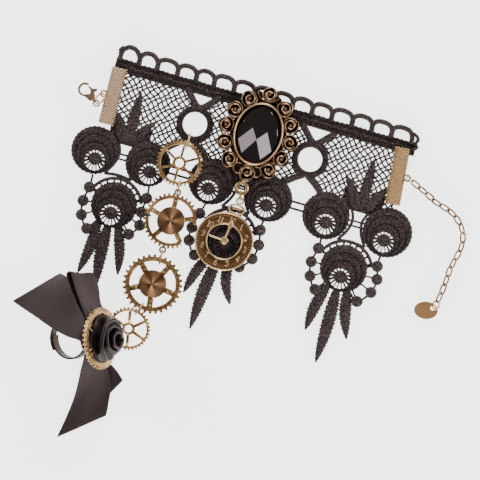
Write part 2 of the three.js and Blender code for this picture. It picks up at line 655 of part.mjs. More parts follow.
function placeChain() {
  const start = clampEye(places.clampRight, 1);
  const points = chainRoute.map((p) => new THREE.Vector3(p.x, p.y, p.z));
  const curve = new THREE.CatmullRomCurve3(points);
  const length = curve.getLength();
  const pitch = 2 * chain.halfLength - 2 * chain.wire - CLEARANCE;
  const first = chainRing.halfLength + pitch / 2 + 0.05;
  const ringFrame = new THREE.Group();
  const heading = chainRing.heading * DEGREE;
  ringFrame.rotation.set(chain.roll * DEGREE, 0, heading, 'ZYX');
  ringFrame.position.set(start[0] + chainRing.halfLength * Math.cos(heading),
    start[1] + chainRing.halfLength * Math.sin(heading), start[2]);
  cuff.add(ringFrame);
  const { halfLength: a, halfWidth: b } = chainRing;
  const corners = [[-a, 0, 0], [-a, 0, b * 0.7], [-a * 0.6, 0, b], [a * 0.55, 0, b * 0.42], [a, 0, 0],
    [a * 0.55, 0, -b * 0.42], [-a * 0.6, 0, -b], [-a, 0, -b * 0.7]];
  place('chain_ring', wireLoop(corners, chain.wire, 16, 5), looks.goldenBrass, ringFrame);
  const last = length - tag.ringRadius - chain.halfLength + 2 * chain.wire + CLEARANCE;
  const span = (last - first) / (chain.links - 1);
  for (let i = 0; i < chain.links; i += 1) {
    const share = (first + span * i) / length;
    const roll = i % 2 === 0 ? chain.roll : -chain.roll;
    const frame = linkFrame(curve, share, roll);
    const name = `link_${String(i + 1).padStart(2, '0')}`;
    place(name, wireLoop(oval(chain.halfLength, chain.halfWidth), chain.wire, 10, 5), looks.goldenBrass,
        frame);
  }
  const ring = linkFrame(curve, 1, chain.links % 2 === 0 ? chain.roll : -chain.roll);
  place('tag_ring', wireLoop(oval(tag.ringRadius, tag.ringRadius, 12, 1), chain.wire, 14, 5),
      looks.goldenBrass, ring);
}

// Tag: a bare oval plate on the end ring.
function placeTag() {
  const turn = tag.turn * DEGREE;
  const outline = circle(0, 0, tag.halfLength, 20, tag.halfWidth);
  const [dx, dy] = [tagPlace.holeX - tagPlace.x, tagPlace.holeY - tagPlace.y];
  const hole = circle(dx * Math.cos(turn) + dy * Math.sin(turn), dy * Math.cos(turn) - dx * Math.sin(turn),
      tag.hole, 8);
  const body = plate(outline, 0, tag.thickness).subtract(plate(hole, -1, tag.thickness + 1));
  const mesh = place('chain_tag', body, looks.paleBrass);
  const low = chainRoute[chainRoute.length - 1].z - tag.ringRadius * 0.225 - tag.thickness / 2;
  mesh.position.set(tagPlace.x, tagPlace.y, low);
  mesh.rotation.z = turn;
}

// Cameo: a back plate, a rim and cast flowers round it, and an eye below.
const cameoLow = lace.sheet + CLEARANCE;
const flowers = rows(['x', 'y', 'r'], [
  [0.0, 1.28, 0.85], [-0.72, 1.0, 1], [0.74, 1.0, 1], [-1.13, 0.56, 1], [1.13, 0.54, 1],
  [-1.3, 0.04, 1], [1.28, 0.03, 1], [-1.18, -0.48, 1], [1.14, -0.53, 1],
  [-0.82, -0.97, 1], [0.77, -0.97, 1], [0.0, -1.2, 0.9],
]);
function cameoBody() {
  const [rx, ry] = [stone.halfWidth + CLEARANCE, stone.halfHeight + CLEARANCE];
  const stretch = ry / rx;
  const outer = rx + cameo.rimWall;
  const floor = cameoLow + cameo.back;
  const rim = turned([
    [0, cameoLow], [outer, cameoLow], [outer, cameoLow + cameo.rimHeight * 0.8], [outer - cameo.rimWall / 2,
      cameoLow + cameo.rimHeight], [rx, cameoLow + cameo.rimHeight * 0.8], [rx, floor], [0, floor],
  ], 20, 0, 0, stretch);
  const heads = flowers.map((flower) => {
    const r = cameo.flowerRadius * flower.r;
    return turned([
      [0, cameoLow], [r, cameoLow], [r * 0.65, cameoLow + cameo.flowerHeight],
      [0, cameoLow + cameo.flowerHeight],
      ], 6, flower.x * (outer + 0.6), flower.y * (outer * stretch + 0.6));
  });
  const web = disc(0, 0, outer + cameo.web, 20, cameoLow, floor, outer * stretch + cameo.web);
  const top = flowers[0].y * (outer * stretch + 0.6);
  const petals = plate([[-5.0, top - 3.2], [4.8, top - 3.2], [5.2, top - 0.8], [2.4, top + 1.4], [-2.4,
      top + 1.4],
    [-5.4, top - 0.8]], cameoLow, cameoLow + cameo.back * 1.4);
  const foot = -flowers[11].y * (outer * stretch + 0.6);
  const scroll = plate([[-4.6, -foot - 0.4], [-3.2, -foot - 2.2], [-1.0, -foot - 3.2], [0.6, -foot - 3.2],
    [2.8, -foot - 2.2], [4.0, -foot + 0.4], [0, -foot + 3]], cameoLow, places.dropRing.z + cameo.eyeWire);
  const eyeTurn = new THREE.TorusGeometry(cameo.eyeRadius, cameo.eyeWire, 5, 12).rotateY(Math.PI / 2)
    .translate(places.dropRing.x, places.dropRing.y + dropRing.radius, places.dropRing.z);
  const well = disc(0, 0, rx, 20, floor, cameoLow + cameo.rimHeight + 3, ry);
  return joinAll([rim, web, petals, scroll, ...heads]).subtract(well).add(solid(eyeTurn));
}

// Stone: a flat back, a thin girdle and large flat facets rising to a small lozenge.
function stoneGeometry() {
  const low = cameoLow + cameo.back + CLEARANCE;
  const [rx, ry] = [stone.halfWidth, stone.halfHeight];
  const count = 16;
  const ring = circle(0, 0, rx, count, ry).map(([x, y]) => [x, y]);
  const crown = [[0, -0.17, 1], [0.38, 0.15, 1], [0.07, 0.57, 1], [-0.35, 0.18, 1]];
  const mid = [[-0.55, -0.75, 0.55], [0.48, -0.78, 0.55], [0.82, -0.25, 0.5], [0.8, 0.5, 0.5],
    [0.45, 0.82, 0.5], [-0.42, 0.84, 0.5], [-0.82, 0.45, 0.5], [-0.86, -0.3, 0.5]];
  const points = [];
  for (const [x, y] of ring) {
    points.push(new THREE.Vector3(x, y, low), new THREE.Vector3(x, y, low + stone.girdle));
  }
  for (const [x, y, rise] of [...crown, ...mid]) {
    points.push(new THREE.Vector3(x * rx, y * ry, low + stone.girdle + rise * stone.crown));
  }
  return new ConvexGeometry(points);
}

// Drop: a cast ring through the cameo's eye and a small link down to the clock.
function placeDrop() {
  const { x, y, z } = places.dropRing;
  place('drop_ring', flatRing(x, y, z, dropRing.radius, dropRing.wire, 12, 5), looks.castBrass);
  const top = y - dropRing.radius;
  const bottom = places.clockEye.y + clock.eyeRadius;
  const link = new THREE.Group();
  link.position.set((x + places.clockEye.x) / 2, (top + bottom) / 2, z);
  link.rotation.z = Math.PI / 2 + 0.25;
  cuff.add(link);
  place('drop_link', wireLoop(oval(dropLink.halfLength, dropLink.halfHeight), dropLink.wire, 12, 5),
    looks.castBrass, link);
}

// Dial: one raised figure block for each hour; double figures are wider.
function clockFigures(low) {
  return Array.from({ length: 12 }, (_, i) => {
    const angle = (90 - (i + 1) * 30) * DEGREE;
    const width = i < 9 ? clock.figureWidth : clock.figureWidth * 1.6;
    const [c, s] = [Math.cos(angle), Math.sin(angle)];
    const [near, far] = [clock.figureRadius - clock.figureHeight / 2,
        clock.figureRadius + clock.figureHeight / 2];
    return bar(near * c, near * s, far * c, far * s, width, low - clock.plate / 2, low + clock.figureRise);
  });
}

function clockBody() {
  const { radius, openRadius, rimWidth, rimRise } = clock;
  const low = sheetTop + lace.buttonRelief + CLEARANCE;
  const top = low + clock.plate;
  const plateRing = turned([
    [openRadius, low], [radius, low], [radius, top + rimRise], [radius - rimWidth, top + rimRise],
    [radius - rimWidth, top], [openRadius + rimWidth, top], [openRadius + rimWidth, top + rimRise],
    [openRadius, top + rimRise], [openRadius, low],
  ], 22, 0, 0);
  const hub = disc(0, 0.4, clock.hubRadius, 12, top - 0.2, top + rimRise * 1.6);
  const longHand = plate([[-0.45, 0], [-0.35, openRadius * 0.6], [-1.0, openRadius * 0.95], [-0.2,
      radius - 2.7],
    [0.2, radius - 2.7], [1.0, openRadius * 0.95], [0.35, openRadius * 0.6], [0.45, 0]].reverse(),
        top - 0.2, top + rimRise * 1.2);
  const tail = bar(0, 0, -openRadius + 0.3 - 0.9, 1.8, 0.6, top - 0.2, top + rimRise * 1.2);
  const dial = joinAll([plateRing, ...clockFigures(top), hub, longHand, tail]);
  const turn = new THREE.Matrix4().makeRotationZ(clock.turn * DEGREE).setPosition(places.clock.x,
      places.clock.y, 0);
  const bowLow = low + 0.35;
  const bowCentre = [places.bow.x, places.bow.y];
  const bow = disc(...bowCentre, clock.bowHalfWidth + clock.bowWire, 14, bowLow, bowLow + 2 * clock.bowWire,
    clock.bowHalfHeight + clock.bowWire).subtract(disc(...bowCentre, clock.bowHalfWidth - clock.bowWire, 12,
        bowLow - 1,
    bowLow + 3, clock.bowHalfHeight - clock.bowWire));
  const eye = flatRing(places.clockEye.x, places.clockEye.y, bowLow + clock.bowWire, clock.eyeRadius,
      clock.eyeWire, 10, 5);
  const stem = bar(places.clockEye.x, places.clockEye.y - clock.eyeRadius, places.bow.x,
      places.bow.y + clock.bowHalfHeight,
    0.8, bowLow, bowLow + 2 * clock.bowWire);
  return dial.transform(turn.elements).add(bow).add(stem).add(eye);
}

// Gears: a toothed rim, spokes and a hub, centred on the axis from zero upwards.
function gearBody(gear, gap = null) {
  const { tip, root, rim, teeth, spokes, first, spoke, hub, hole } = gear;
  const outline = [];
  for (let i = 0; i < teeth; i += 1) {
    const start = (i / teeth) * 360;
    const bare = gap && ((start + 360) % 360 < gap.plainTo || (start + 360) % 360 > 360 + gap.from);
    const steps = bare ? [[0, root], [0.5, root]] : [[0.1, root], [0.5, tip]];
    for (const [share, radius] of steps) {
      const angle = (start + (share * 360) / teeth) * DEGREE;
      outline.push([radius * Math.cos(angle), radius * Math.sin(angle)]);
    }
  }
  let ring = plate(outline, 0, gearThickness).subtract(disc(0, 0, rim, 18, -1, gearThickness + 1));
  if (gap) {
    const wedge = [gap.from, (gap.from + gap.to) / 2, gap.to].map((angle) => [
      2 * tip * Math.cos(angle * DEGREE), 2 * tip * Math.sin(angle * DEGREE)]);
    ring = ring.subtract(plate([[0, 0], ...wedge], -1, gearThickness + 1));
  }
  const arms = Array.from({ length: spokes }, (_, i) => {
    const angle = (first + (i * 360) / spokes) * DEGREE;
    const reach = (rim + root) / 2;
    return bar(0, 0, reach * Math.cos(angle), reach * Math.sin(angle), spoke, 0, gearThickness);
  });
  const whole = joinAll([ring, disc(0, 0, hub, 10, 0, gearThickness), ...arms]);
  return hole > 0 ? whole.subtract(disc(0, 0, hole, 10, -1, gearThickness + 1)) : whole;
}

// A small tab with a hole on the edge of a gear.
function gearTab(body, x, y, radius, hole) {
  const length = Math.hypot(x, y);
  const stem = bar(x * 0.82, y * 0.82, x, y, radius * 1.4, 0, gearThickness);
  return body.add(disc(x, y, radius, 10, 0, gearThickness)).add(stem)
    .subtract(disc(x * (1 + 0.1 / length), y * (1 + 0.1 / length), hole, 8, -1, gearThickness + 1));
}

// A spiked cone that sits on a gear's hub.
const coneBody = (low) => turned([[0, low], [cone.radius, low], [cone.radius * 0.94, low + 0.7], [0,
    low + cone.height]], 16, 0, 0);

// A jump ring standing on edge along the line between two points, between two heights.
function standingRing(name, join, low, high, material) {
  const { fromX: ax, fromY: ay, toX: bx, toY: by } = join;
  const half = Math.hypot(bx - ax, by - ay) / 2;
  const frame = new THREE.Group();
  frame.position.set((ax + bx) / 2, (ay + by) / 2, (low + high) / 2);
  frame.rotation.z = Math.atan2(by - ay, bx - ax);
  cuff.add(frame);
  place(name, wireLoop(oval(half, (high - low) / 2, 12, 0.5), joinRing.wire, 10, 5), material, frame);
}

const upperGearLow = sheetTop + lace.buttonRelief + 2 * CLEARANCE;
const lowerGearLow = 2 * joinRing.wire + CLEARANCE + 0.1;
const gearFourTilt = 8.5;
const gearTwoTabs = rows(['x', 'y', 'radius', 'hole'], [[-0.6, 12.8, 1.6, 0.75], [0, -13.1, 1.7, 0.8]]);

function placeGears() {
  const wire = joinRing.wire;
  const under = wire + 0.02;
  const over = (top) => top + CLEARANCE + wire;
  const one = place('gear_1', gearBody(gearRows.one), looks.antiqueBrass);
  one.position.set(places.gearOne.x, places.gearOne.y, upperGearLow);
  let two = gearBody(gearRows.two, brokenRim);
  for (const tab of gearTwoTabs) two = gearTab(two, tab.x, tab.y, tab.radius, tab.hole);
  const second = place('gear_2', two, looks.antiqueBrass);
  second.position.set(places.gearTwo.x, places.gearTwo.y, upperGearLow);
  place('cone_2', coneBody(upperGearLow + gearThickness + CLEARANCE), looks.darkBrass)
    .position.set(places.gearTwo.x, places.gearTwo.y, 0);
  const third = place('gear_3', gearBody(gearRows.three), looks.antiqueBrass);
  third.position.set(places.gearThree.x, places.gearThree.y, lowerGearLow);
  place('cone_3', coneBody(lowerGearLow + gearThickness + CLEARANCE), looks.darkBrass)
    .position.set(places.gearThree.x, places.gearThree.y, 0);
  const fourth = place('gear_4', gearBody(gearRows.four), looks.antiqueBrass);
  const tilt = gearFourTilt * DEGREE;
  fourth.position.set(places.gearFour.x, places.gearFour.y, gearRows.four.tip * Math.sin(tilt) + 0.05);
  fourth.rotation.x = tilt;
  const upperTop = upperGearLow + gearThickness;
  const lowerTop = lowerGearLow + gearThickness;
  const metal = looks.goldenBrass;
  standingRing('gear_hanger', joins.hanger, under, over(upperTop), metal);
  standingRing('join_ring_1', joins.oneToTwo, upperGearLow - 2.2 * wire - CLEARANCE, over(upperTop), metal);
  standingRing('join_ring_2', joins.twoToThree, lowerGearLow - wire - CLEARANCE, over(upperTop), metal);
  standingRing('join_ring_3', joins.threeToFour, lowerGearLow - wire - CLEARANCE, over(lowerTop + 1.8),
      metal);
  standingRing('thread_loop', joins.thread, upperGearLow - 2 * CLEARANCE + 0.2, upperTop + 2 * CLEARANCE,
    looks.thread);
}

// Ribbons: both edges at each station, as shares of the ribbon's width from the middle of gear five.
const edgeColumns = ['ax', 'ay', 'az', 'bx', 'by', 'bz'];
const bowRows = rows(edgeColumns, [
  [-0.149, -0.140, 0.209, 0.090, -0.067, -0.224],
  [-0.311, 0.237, 0.288, 0.036, 0.344, -0.342],
  [-0.518, 0.505, 0.220, -0.223, 0.636, -0.393],
  [-0.755, 0.818, 0.107, -0.355, 0.909, -0.489],
  [-0.909, 1.050, -0.002, -0.473, 1.095, -0.530],
  [-0.968, 1.077, -0.034, -0.545, 1.159, -0.543],
  [-0.995, 1.005, -0.066, -0.618, 1.082, -0.548],
  [-0.859, 0.805, 0.025, -0.486, 0.855, -0.520],
  [-0.623, 0.518, 0.143, -0.336, 0.600, -0.430],
  [-0.345, 0.227, 0.267, 0.002, 0.333, -0.363],
  [-0.183, -0.151, 0.189, 0.056, -0.078, -0.245],
]);
const leftRows = rows(edgeColumns, [
  [-0.005, -0.154, -0.186, -0.107, 0.181, -0.186],
  [-0.223, -0.220, 0.207, -0.325, 0.115, 0.207],
  [-0.391, -0.136, 0.270, -0.441, 0.195, 0.280],
  [-0.636, -0.145, 0.130, -0.609, 0.368, 0.061],
  [-0.986, -0.077, -0.098, -0.827, 0.718, -0.166],
  [-1.409, 0.036, -0.348, -0.986, 0.914, -0.348],
  [-1.745, 0.132, -0.548, -1.109, 0.977, -0.502],
  [-1.936, 0.191, -0.639, -1.177, 0.982, -0.584],
]);
const lowerRows = rows(edgeColumns, [
  [-0.282, 0.009, 0.108, -0.104, 0.063, -0.215],
  [-0.206, -0.395, 0.187, 0.033, -0.323, -0.246],
  [-0.209, -0.627, 0.039, 0.273, -0.591, -0.457],
  [-0.195, -0.955, -0.257, 0.427, -0.932, -0.557],
  [-0.209, -1.318, -0.484, 0.473, -1.227, -0.598],
  [-0.268, -1.773, -0.598, 0.486, -1.409, -0.625],
  [-0.345, -2.195, -0.643, 0.491, -1.495, -0.643],
]);
const rightRows = rows(edgeColumns, [
  [-0.159, -0.048, -0.149, -0.050, -0.015, -0.345],
  [-0.052, -0.358, -0.168, 0.067, -0.321, -0.385],
  [0.045, -0.614, -0.461, 0.309, -0.482, -0.584],
  [0.159, -0.841, -0.620, 0.477, -0.605, -0.634],
  [0.436, -1.064, -0.643, 0.623, -0.727, -0.643],
]);

// A strip of satin between its two edges, with its wall laid evenly on either side.
function ribbonBody(table, along, across) {
  const centre = places.gearFive;
  const point = (x, y, z) => new THREE.Vector3(
    centre.x + x * ribbon.width, centre.y + y * ribbon.width, centre.z + z * ribbon.width);
  const edgeA = new THREE.CatmullRomCurve3(table.map((row) => point(row.ax, row.ay, row.az)));
  const edgeB = new THREE.CatmullRomCurve3(table.map((row) => point(row.bx, row.by, row.bz)));
  const at = (u, v) => edgeA.getPoint(u).lerp(edgeB.getPoint(u), v);
  const step = 0.01;
  const geometry = new THREE.BoxGeometry(1, 1, 1, along, across, 1);
  const position = geometry.attributes.position;
  for (let i = 0; i < position.count; i += 1) {
    const [u, v, w] = [position.getX(i) + 0.5, position.getY(i) + 0.5, position.getZ(i)];
    const before = Math.max(0, u - step);
    const after = Math.min(1, u + step);
    const alongVector = at(after, v).sub(at(before, v));
    const acrossVector = at(u, 1).sub(at(u, 0));
    const normal = alongVector.cross(acrossVector).normalize();
    const spot = at(u, v).addScaledVector(normal, w * ribbon.wall);
    position.setXYZ(i, spot.x, spot.y, spot.z);
  }
  return solid(geometry);
}

// Finger ring: a band whose ends overlap, open at the far side, and a round pad.
function fingerRingBody() {
  const { radius, band: wall, width, overlap, padRadius, padThickness } = fingerRing;
  const steps = 26;
  const [start, sweep] = [238, 360 + overlap];
  const lift = wall + CLEARANCE;
  const mid = (i) => {
    const turned360 = (i / steps) * sweep;
    const eased = Math.min(1, Math.max(0, (turned360 - overlap - 5) / 60));
    return { angle: (start + turned360) * DEGREE, r: radius + lift * (1 - eased) };
  };
  const outer = [];
  const inner = [];
  for (let i = 0; i <= steps; i += 1) {
    const { angle, r } = mid(i);
    outer.push([r * Math.cos(angle), r * Math.sin(angle)]);
    inner.push([(r - wall) * Math.cos(angle), (r - wall) * Math.sin(angle)]);
  }
  const shape = new THREE.Shape([...outer, ...inner.reverse()].map(([x, y]) => new THREE.Vector2(x, y)));
  const hoop = new THREE.ExtrudeGeometry(shape, { depth: width, bevelEnabled: false, curveSegments: 1 });
  hoop.translate(0, 0, -width / 2);
  hoop.rotateX(Math.PI / 2).rotateZ(Math.PI / 2);
  const padLow = fingerStack;
  hoop.translate(0, 0, padLow - radius + 0.2);
  return solid(hoop).add(disc(0, 0, padRadius, 18, padLow, padLow + padThickness));
}

const fingerStack = -(gearThickness / 2 + bow.stack * ribbon.width + CLEARANCE + fingerRing.padThickness);

function placeBow() {
  const heading = bow.heading * DEGREE;
  const rise = (90 - bow.tilt) * DEGREE;
  const normal = new THREE.Vector3(
    Math.cos(rise) * Math.cos(heading), Math.cos(rise) * Math.sin(heading), Math.sin(rise));
  const level = new THREE.Vector3(-Math.sin(heading), Math.cos(heading), 0);
  const slope = new THREE.Vector3().crossVectors(level, normal).normalize();
  const frame = new THREE.Group();
  frame.setRotationFromMatrix(new THREE.Matrix4().makeBasis(slope, level, normal));
  frame.position.set(places.gearFive.x, places.gearFive.y, places.gearFive.z);
  cuff.add(frame);
  place('gear_5', gearBody(gearRows.five), looks.antiqueBrass, frame).position.z = -gearThickness / 2;
  place('finger_ring', fingerRingBody(), looks.darkBrass, frame);
  const { radius: r, depth } = rose;
  const base = gearThickness / 2 + CLEARANCE;
  place('satin_rose', turned([
    [0, base], [0.7 * r, base], [r, base + 0.28 * depth], [0.84 * r, base + 0.6 * depth],
    [0.62 * r, base + 0.5 * depth], [0.48 * r, base + 0.95 * depth], [0.2 * r, base + depth], [0,
        base + 0.9 * depth],
  ], 12, 0, 0), looks.satin, frame);
  place('bow_loop', ribbonBody(bowRows, 24, 2), looks.satin);
  place('ribbon_tail_left', ribbonBody(leftRows, 12, 3), looks.satin);
  place('ribbon_tail_lower', ribbonBody(lowerRows, 12, 3), looks.satin);
  place('ribbon_tail_right', ribbonBody(rightRows, 8, 2), looks.satin);
}

place('lace', laceBody(), looks.lace);
placeClamps();
placeClasp();
placeChain();
placeTag();
place('cameo_frame', cameoBody(), looks.castBrass);
place('stone', solid(stoneGeometry()), looks.jet);
placeDrop();
place('clock', clockBody(), looks.castBrass);
placeGears();
placeBow();

export default cuff;
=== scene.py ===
"""Looks of the lace cuff: stitched lace, brass trims, satin bow, floor, light and camera."""

import math

import bpy
import numpy as np
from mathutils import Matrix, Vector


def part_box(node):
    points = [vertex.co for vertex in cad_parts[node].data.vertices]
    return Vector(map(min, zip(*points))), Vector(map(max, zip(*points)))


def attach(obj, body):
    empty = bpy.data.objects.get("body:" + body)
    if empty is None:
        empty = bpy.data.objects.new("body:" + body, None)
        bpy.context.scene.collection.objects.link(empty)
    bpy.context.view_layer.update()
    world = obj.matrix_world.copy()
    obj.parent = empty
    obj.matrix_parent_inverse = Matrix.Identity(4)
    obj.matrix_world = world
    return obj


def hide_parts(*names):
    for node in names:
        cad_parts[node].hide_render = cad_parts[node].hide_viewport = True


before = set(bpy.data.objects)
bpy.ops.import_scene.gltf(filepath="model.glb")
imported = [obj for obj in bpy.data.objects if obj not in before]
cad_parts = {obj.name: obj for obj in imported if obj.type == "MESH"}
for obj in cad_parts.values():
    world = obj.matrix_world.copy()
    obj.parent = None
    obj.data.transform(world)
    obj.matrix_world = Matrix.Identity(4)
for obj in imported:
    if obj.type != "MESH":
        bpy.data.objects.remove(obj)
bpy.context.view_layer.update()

# Lengths below are in millimetres, and turn into metres as a mesh is made.
MM = 0.001
TAU = 2 * math.pi
WELD_DIGITS = 5

# Mesh tools. A part is its points, and its faces as rows of four point numbers.


def rows(columns, lines):
    """A table: a dict for each line, by the columns' names."""
    return [dict(zip(columns.split(), line)) for line in lines]


def around(count):
    """Equal angles round a full turn, in radians."""
    return np.arange(count) / count * TAU


def grid_faces(rows, cols, round_rows=False, round_cols=True):
    """Faces of a grid; they look along (next column) x (next row), and join round where asked."""
    i, j = np.meshgrid(np.arange(rows - (not round_rows)), np.arange(cols - (not round_cols)), indexing="ij")
    k, m = (i + 1) % rows, (j + 1) % cols
    return np.stack([i * cols + j, i * cols + m, k * cols + m, k * cols + j], -1).reshape(-1, 4)


def weld(points, faces):
    """Merges points in the same place, so that a row that shrinks to a pole becomes a fan."""
    _, first, index = np.unique(np.round(points, WELD_DIGITS), axis=0, return_index=True, return_inverse=True)
    return points[first], index.reshape(-1)[faces]


def turned(part):
    """The part with its faces looking the other way."""
    points, faces = part
    return points, faces[:, ::-1]


def tube(points, loop):
    """Faces over rings of points, joined into a loop or drawn in to the rings' middles at both ends."""
    if not loop:
        ends = points[[0, -1]].mean(1, keepdims=True) + np.zeros_like(points[[0, -1]])
        points = np.concatenate([ends[:1], points, ends[1:]])
    faces = grid_faces(len(points), points.shape[1], round_rows=loop)
    points = points.reshape(-1, 3)
    return (points, faces) if loop else weld(points, faces)


def unit(v):
    """Vectors of length one, row by row."""
    return v / np.maximum(np.linalg.norm(v, axis=-1, keepdims=True), 1e-9)


def column(value, count):
    """A number or an array as a column of that many rows."""
    return np.broadcast_to(np.asarray(value, float).reshape(-1, 1), (count, 1))


def cross_axes(path, loop, up):
    """The two directions across a path at each of its points: to its side, and upwards."""
    along = unit(np.roll(path, -1, 0) - np.roll(path, 1, 0)) if loop else unit(np.gradient(path, axis=0))
    side = unit(np.cross(np.broadcast_to(np.asarray(up, float), path.shape), along))
    return side, unit(np.cross(along, side))


def sweep(path, half_width, half_height, sides=8, loop=False, up=(0, 0, 1)):
    """A band along a path: point = path + side x half width x cos a + up x half height x sin a."""
    path = np.asarray(path, float)
    side, rise = cross_axes(path, loop, up)
    angle = around(sides)
    across = (column(half_width, len(path)) * np.cos(angle))[..., None]
    upwards = (column(half_height, len(path)) * np.sin(angle))[..., None]
    return tube(path[:, None] + side[:, None] * across + rise[:, None] * upwards, loop)


def beam(path, section, loop=False, up=(0, 0, 1)):
    """A bar along a path: its section is a closed row of (side, rise) points, anticlockwise."""
    path = np.asarray(path, float)
    section = np.asarray(section, float)
    side, rise = cross_axes(path, loop, up)
    return tube(path[:, None] + side[:, None] * section[:, :1] + rise[:, None] * section[:, 1:], loop)


def eased(wide, low, high, bevel):
    """Section of a bar with eased edges, as (side, rise) points."""
    half = wide / 2
    return [
        (half, low + bevel), (half, high - bevel), (half - bevel, high), (bevel - half, high),
        (-half, high - bevel), (-half, low + bevel), (bevel - half, low), (half - bevel, low),
    ]


def lathe(profile, sides, centre=(0, 0, 0), stretch=1.0, swell=0.0, lobes=0):
    """Turned form: radius and height rows from the bottom, out and up; radius x (1 + swell cos lobes a)."""
    profile = np.asarray(profile, float)
    angle = around(sides)
    r = profile[:, :1] * (1 + swell * np.cos(lobes * angle))
    points = np.stack([r * np.cos(angle), r * np.sin(angle) * stretch, profile[:, 1:] + 0 * r], -1)
    points = points.reshape(-1, 3) + np.asarray(centre, float)
    return weld(points, grid_faces(len(profile), sides))


def rim(outer, inner, angles, low, high, bevel, full=True):
    """A flat ring, or a stretch of one: outer and inner radius at each angle, with eased edges."""
    outer, inner = (np.broadcast_to(np.asarray(r, float), angles.shape) for r in (outer, inner))
    out, back = outer - bevel, inner + bevel
    radii = np.stack([outer, outer, out, back, inner, inner, back, out], 1)
    z = np.array([low + bevel, high - bevel, high, high, high - bevel, low + bevel, low, low])
    points = np.stack([radii * np.cos(angles)[:, None], radii * np.sin(angles)[:, None], z + 0 * radii], -1)
    return turned(tube(points, full))


def dome(outline, low, high):
    """A closed outline filled as a low dome: an edge wall, then heights that rise as sin to the middle."""
    outline = np.asarray(outline, float)
    after = np.roll(outline, -1, axis=0)
    clockwise = (outline[:, 0] * after[:, 1] - outline[:, 1] * after[:, 0]).sum() < 0
    outline = outline[::-1] if clockwise else outline
    wall, steps = 0.3, 4
    turn = np.linspace(0, math.pi / 2, steps)[1:-1]
    shares = np.concatenate([[0, 1], np.cos(turn), [0]])
    rises = np.concatenate([[0, wall], wall + (1 - wall) * np.sin(turn), [1]])
    middle = outline.mean(0)
    xy = middle + (outline - middle) * shares[:, None, None]
    z = np.broadcast_to((low + rises * (high - low))[:, None, None], xy.shape[:2] + (1,))
    return weld(np.concatenate([xy, z], -1).reshape(-1, 3), grid_faces(len(shares), len(outline)))


def moved(part, place, turn=0.0):
    """The part turned about Z by degrees and moved."""
    points, faces = part
    a = math.radians(turn)
    spin = np.array([[math.cos(a), -math.sin(a), 0], [math.sin(a), math.cos(a), 0], [0, 0, 1]])
    return points @ spin.T + np.asarray(place, float), faces


def framed(part, basis, origin):
    """The part laid into a frame: the basis holds its three axes as rows."""
    points, faces = part
    return points @ np.asarray(basis) + np.asarray(origin), faces


def arc(x, y, radius, start, end, count, z, stretch=1.0):
    """Points on an arc of a level circle or oval, angles in degrees."""
    a = np.radians(np.linspace(start, end, count))
    return np.column_stack([x + radius * np.cos(a), y + radius * stretch * np.sin(a), np.full(count, z)])


def smooth_path(stops, step):
    """A Catmull-Rom line through the stops, with points an equal step apart."""
    fineness = 24
    p = np.asarray(stops, float)
    p = np.concatenate([[2 * p[0] - p[1]], p, [2 * p[-1] - p[-2]]])
    t = np.linspace(0, 1, fineness, endpoint=False)[:, None]
    a, b, c, d = p[:-3, None], p[1:-2, None], p[2:-1, None], p[3:, None]
    line = 0.5 * (2 * b + (c - a) * t + (2 * a - 5 * b + 4 * c - d) * t**2 + (3 * b - a - 3 * c + d) * t**3)
    line = np.concatenate([line.reshape(-1, p.shape[1]), p[-2:-1]])
    length = np.concatenate([[0], np.cumsum(np.linalg.norm(np.diff(line, axis=0), axis=1))])
    at = np.linspace(0, length[-1], max(3, int(round(length[-1] / step)) + 1))
    return np.column_stack([np.interp(at, length, line[:, k]) for k in range(p.shape[1])])


def add(name, parts, material, slot, stands_for=(), smooth=True):
    """Makes one object of the parts, and ties it to its body and the CAD nodes it stands for; its slot is not
    used.
    """
    sizes = np.cumsum([0] + [len(points) for points, _ in parts])
    points = np.concatenate([p for p, _ in parts]) * MM
    faces = np.concatenate([f + start for (_, f), start in zip(parts, sizes)])
    same = faces == np.roll(faces, -1, 1)
    count = same.sum(1)
    quads = faces[count == 0]
    tris = faces[count == 1][~same[count == 1]].reshape(-1, 3)
    mesh = bpy.data.meshes.new(name)
    mesh.vertices.add(len(points))
    mesh.vertices.foreach_set("co", points.astype(np.float32).ravel())
    loops = np.concatenate([quads.ravel(), tris.ravel()])
    mesh.loops.add(len(loops))
    mesh.loops.foreach_set("vertex_index", loops.astype(np.int32))
    starts = np.concatenate([np.arange(len(quads)) * 4, len(quads) * 4 + np.arange(len(tris)) * 3])
    mesh.polygons.add(len(starts))
    mesh.polygons.foreach_set("loop_start", starts.astype(np.int32))
    mesh.update(calc_edges=True)
    mesh.polygons.foreach_set("use_smooth", np.full(len(starts), smooth))
    mesh.materials.append(material)
    made = bpy.data.objects.new(name, mesh)
    bpy.context.scene.collection.objects.link(made)
    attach(made, "cuff")
    if stands_for:
        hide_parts(*stands_for)
    return made


# Materials. Colours are linear red, green and blue; texture scales are repeats in a metre.


def shade(name, color, roughness, metallic=0.0):
    """A plain Principled material, and its shader."""
    made = bpy.data.materials.new(name)
    made.use_nodes = True
    shader = made.node_tree.nodes["Principled BSDF"]
    shader.inputs["Base Color"].default_value = (*color, 1)
    shader.inputs["Roughness"].default_value = roughness
    shader.inputs["Metallic"].default_value = metallic
    made.diffuse_color = (*color, 1)
    return made, shader


def noise(made, scale, detail):
    """The output of a noise texture on Object coordinates."""
    nodes = made.node_tree.nodes
    node = nodes.new("ShaderNodeTexNoise")
    node.inputs["Scale"].default_value = scale
    node.inputs["Detail"].default_value = detail
    made.node_tree.links.new(nodes.new("ShaderNodeTexCoord").outputs["Object"], node.inputs["Vector"])
    return node.outputs["Fac"]


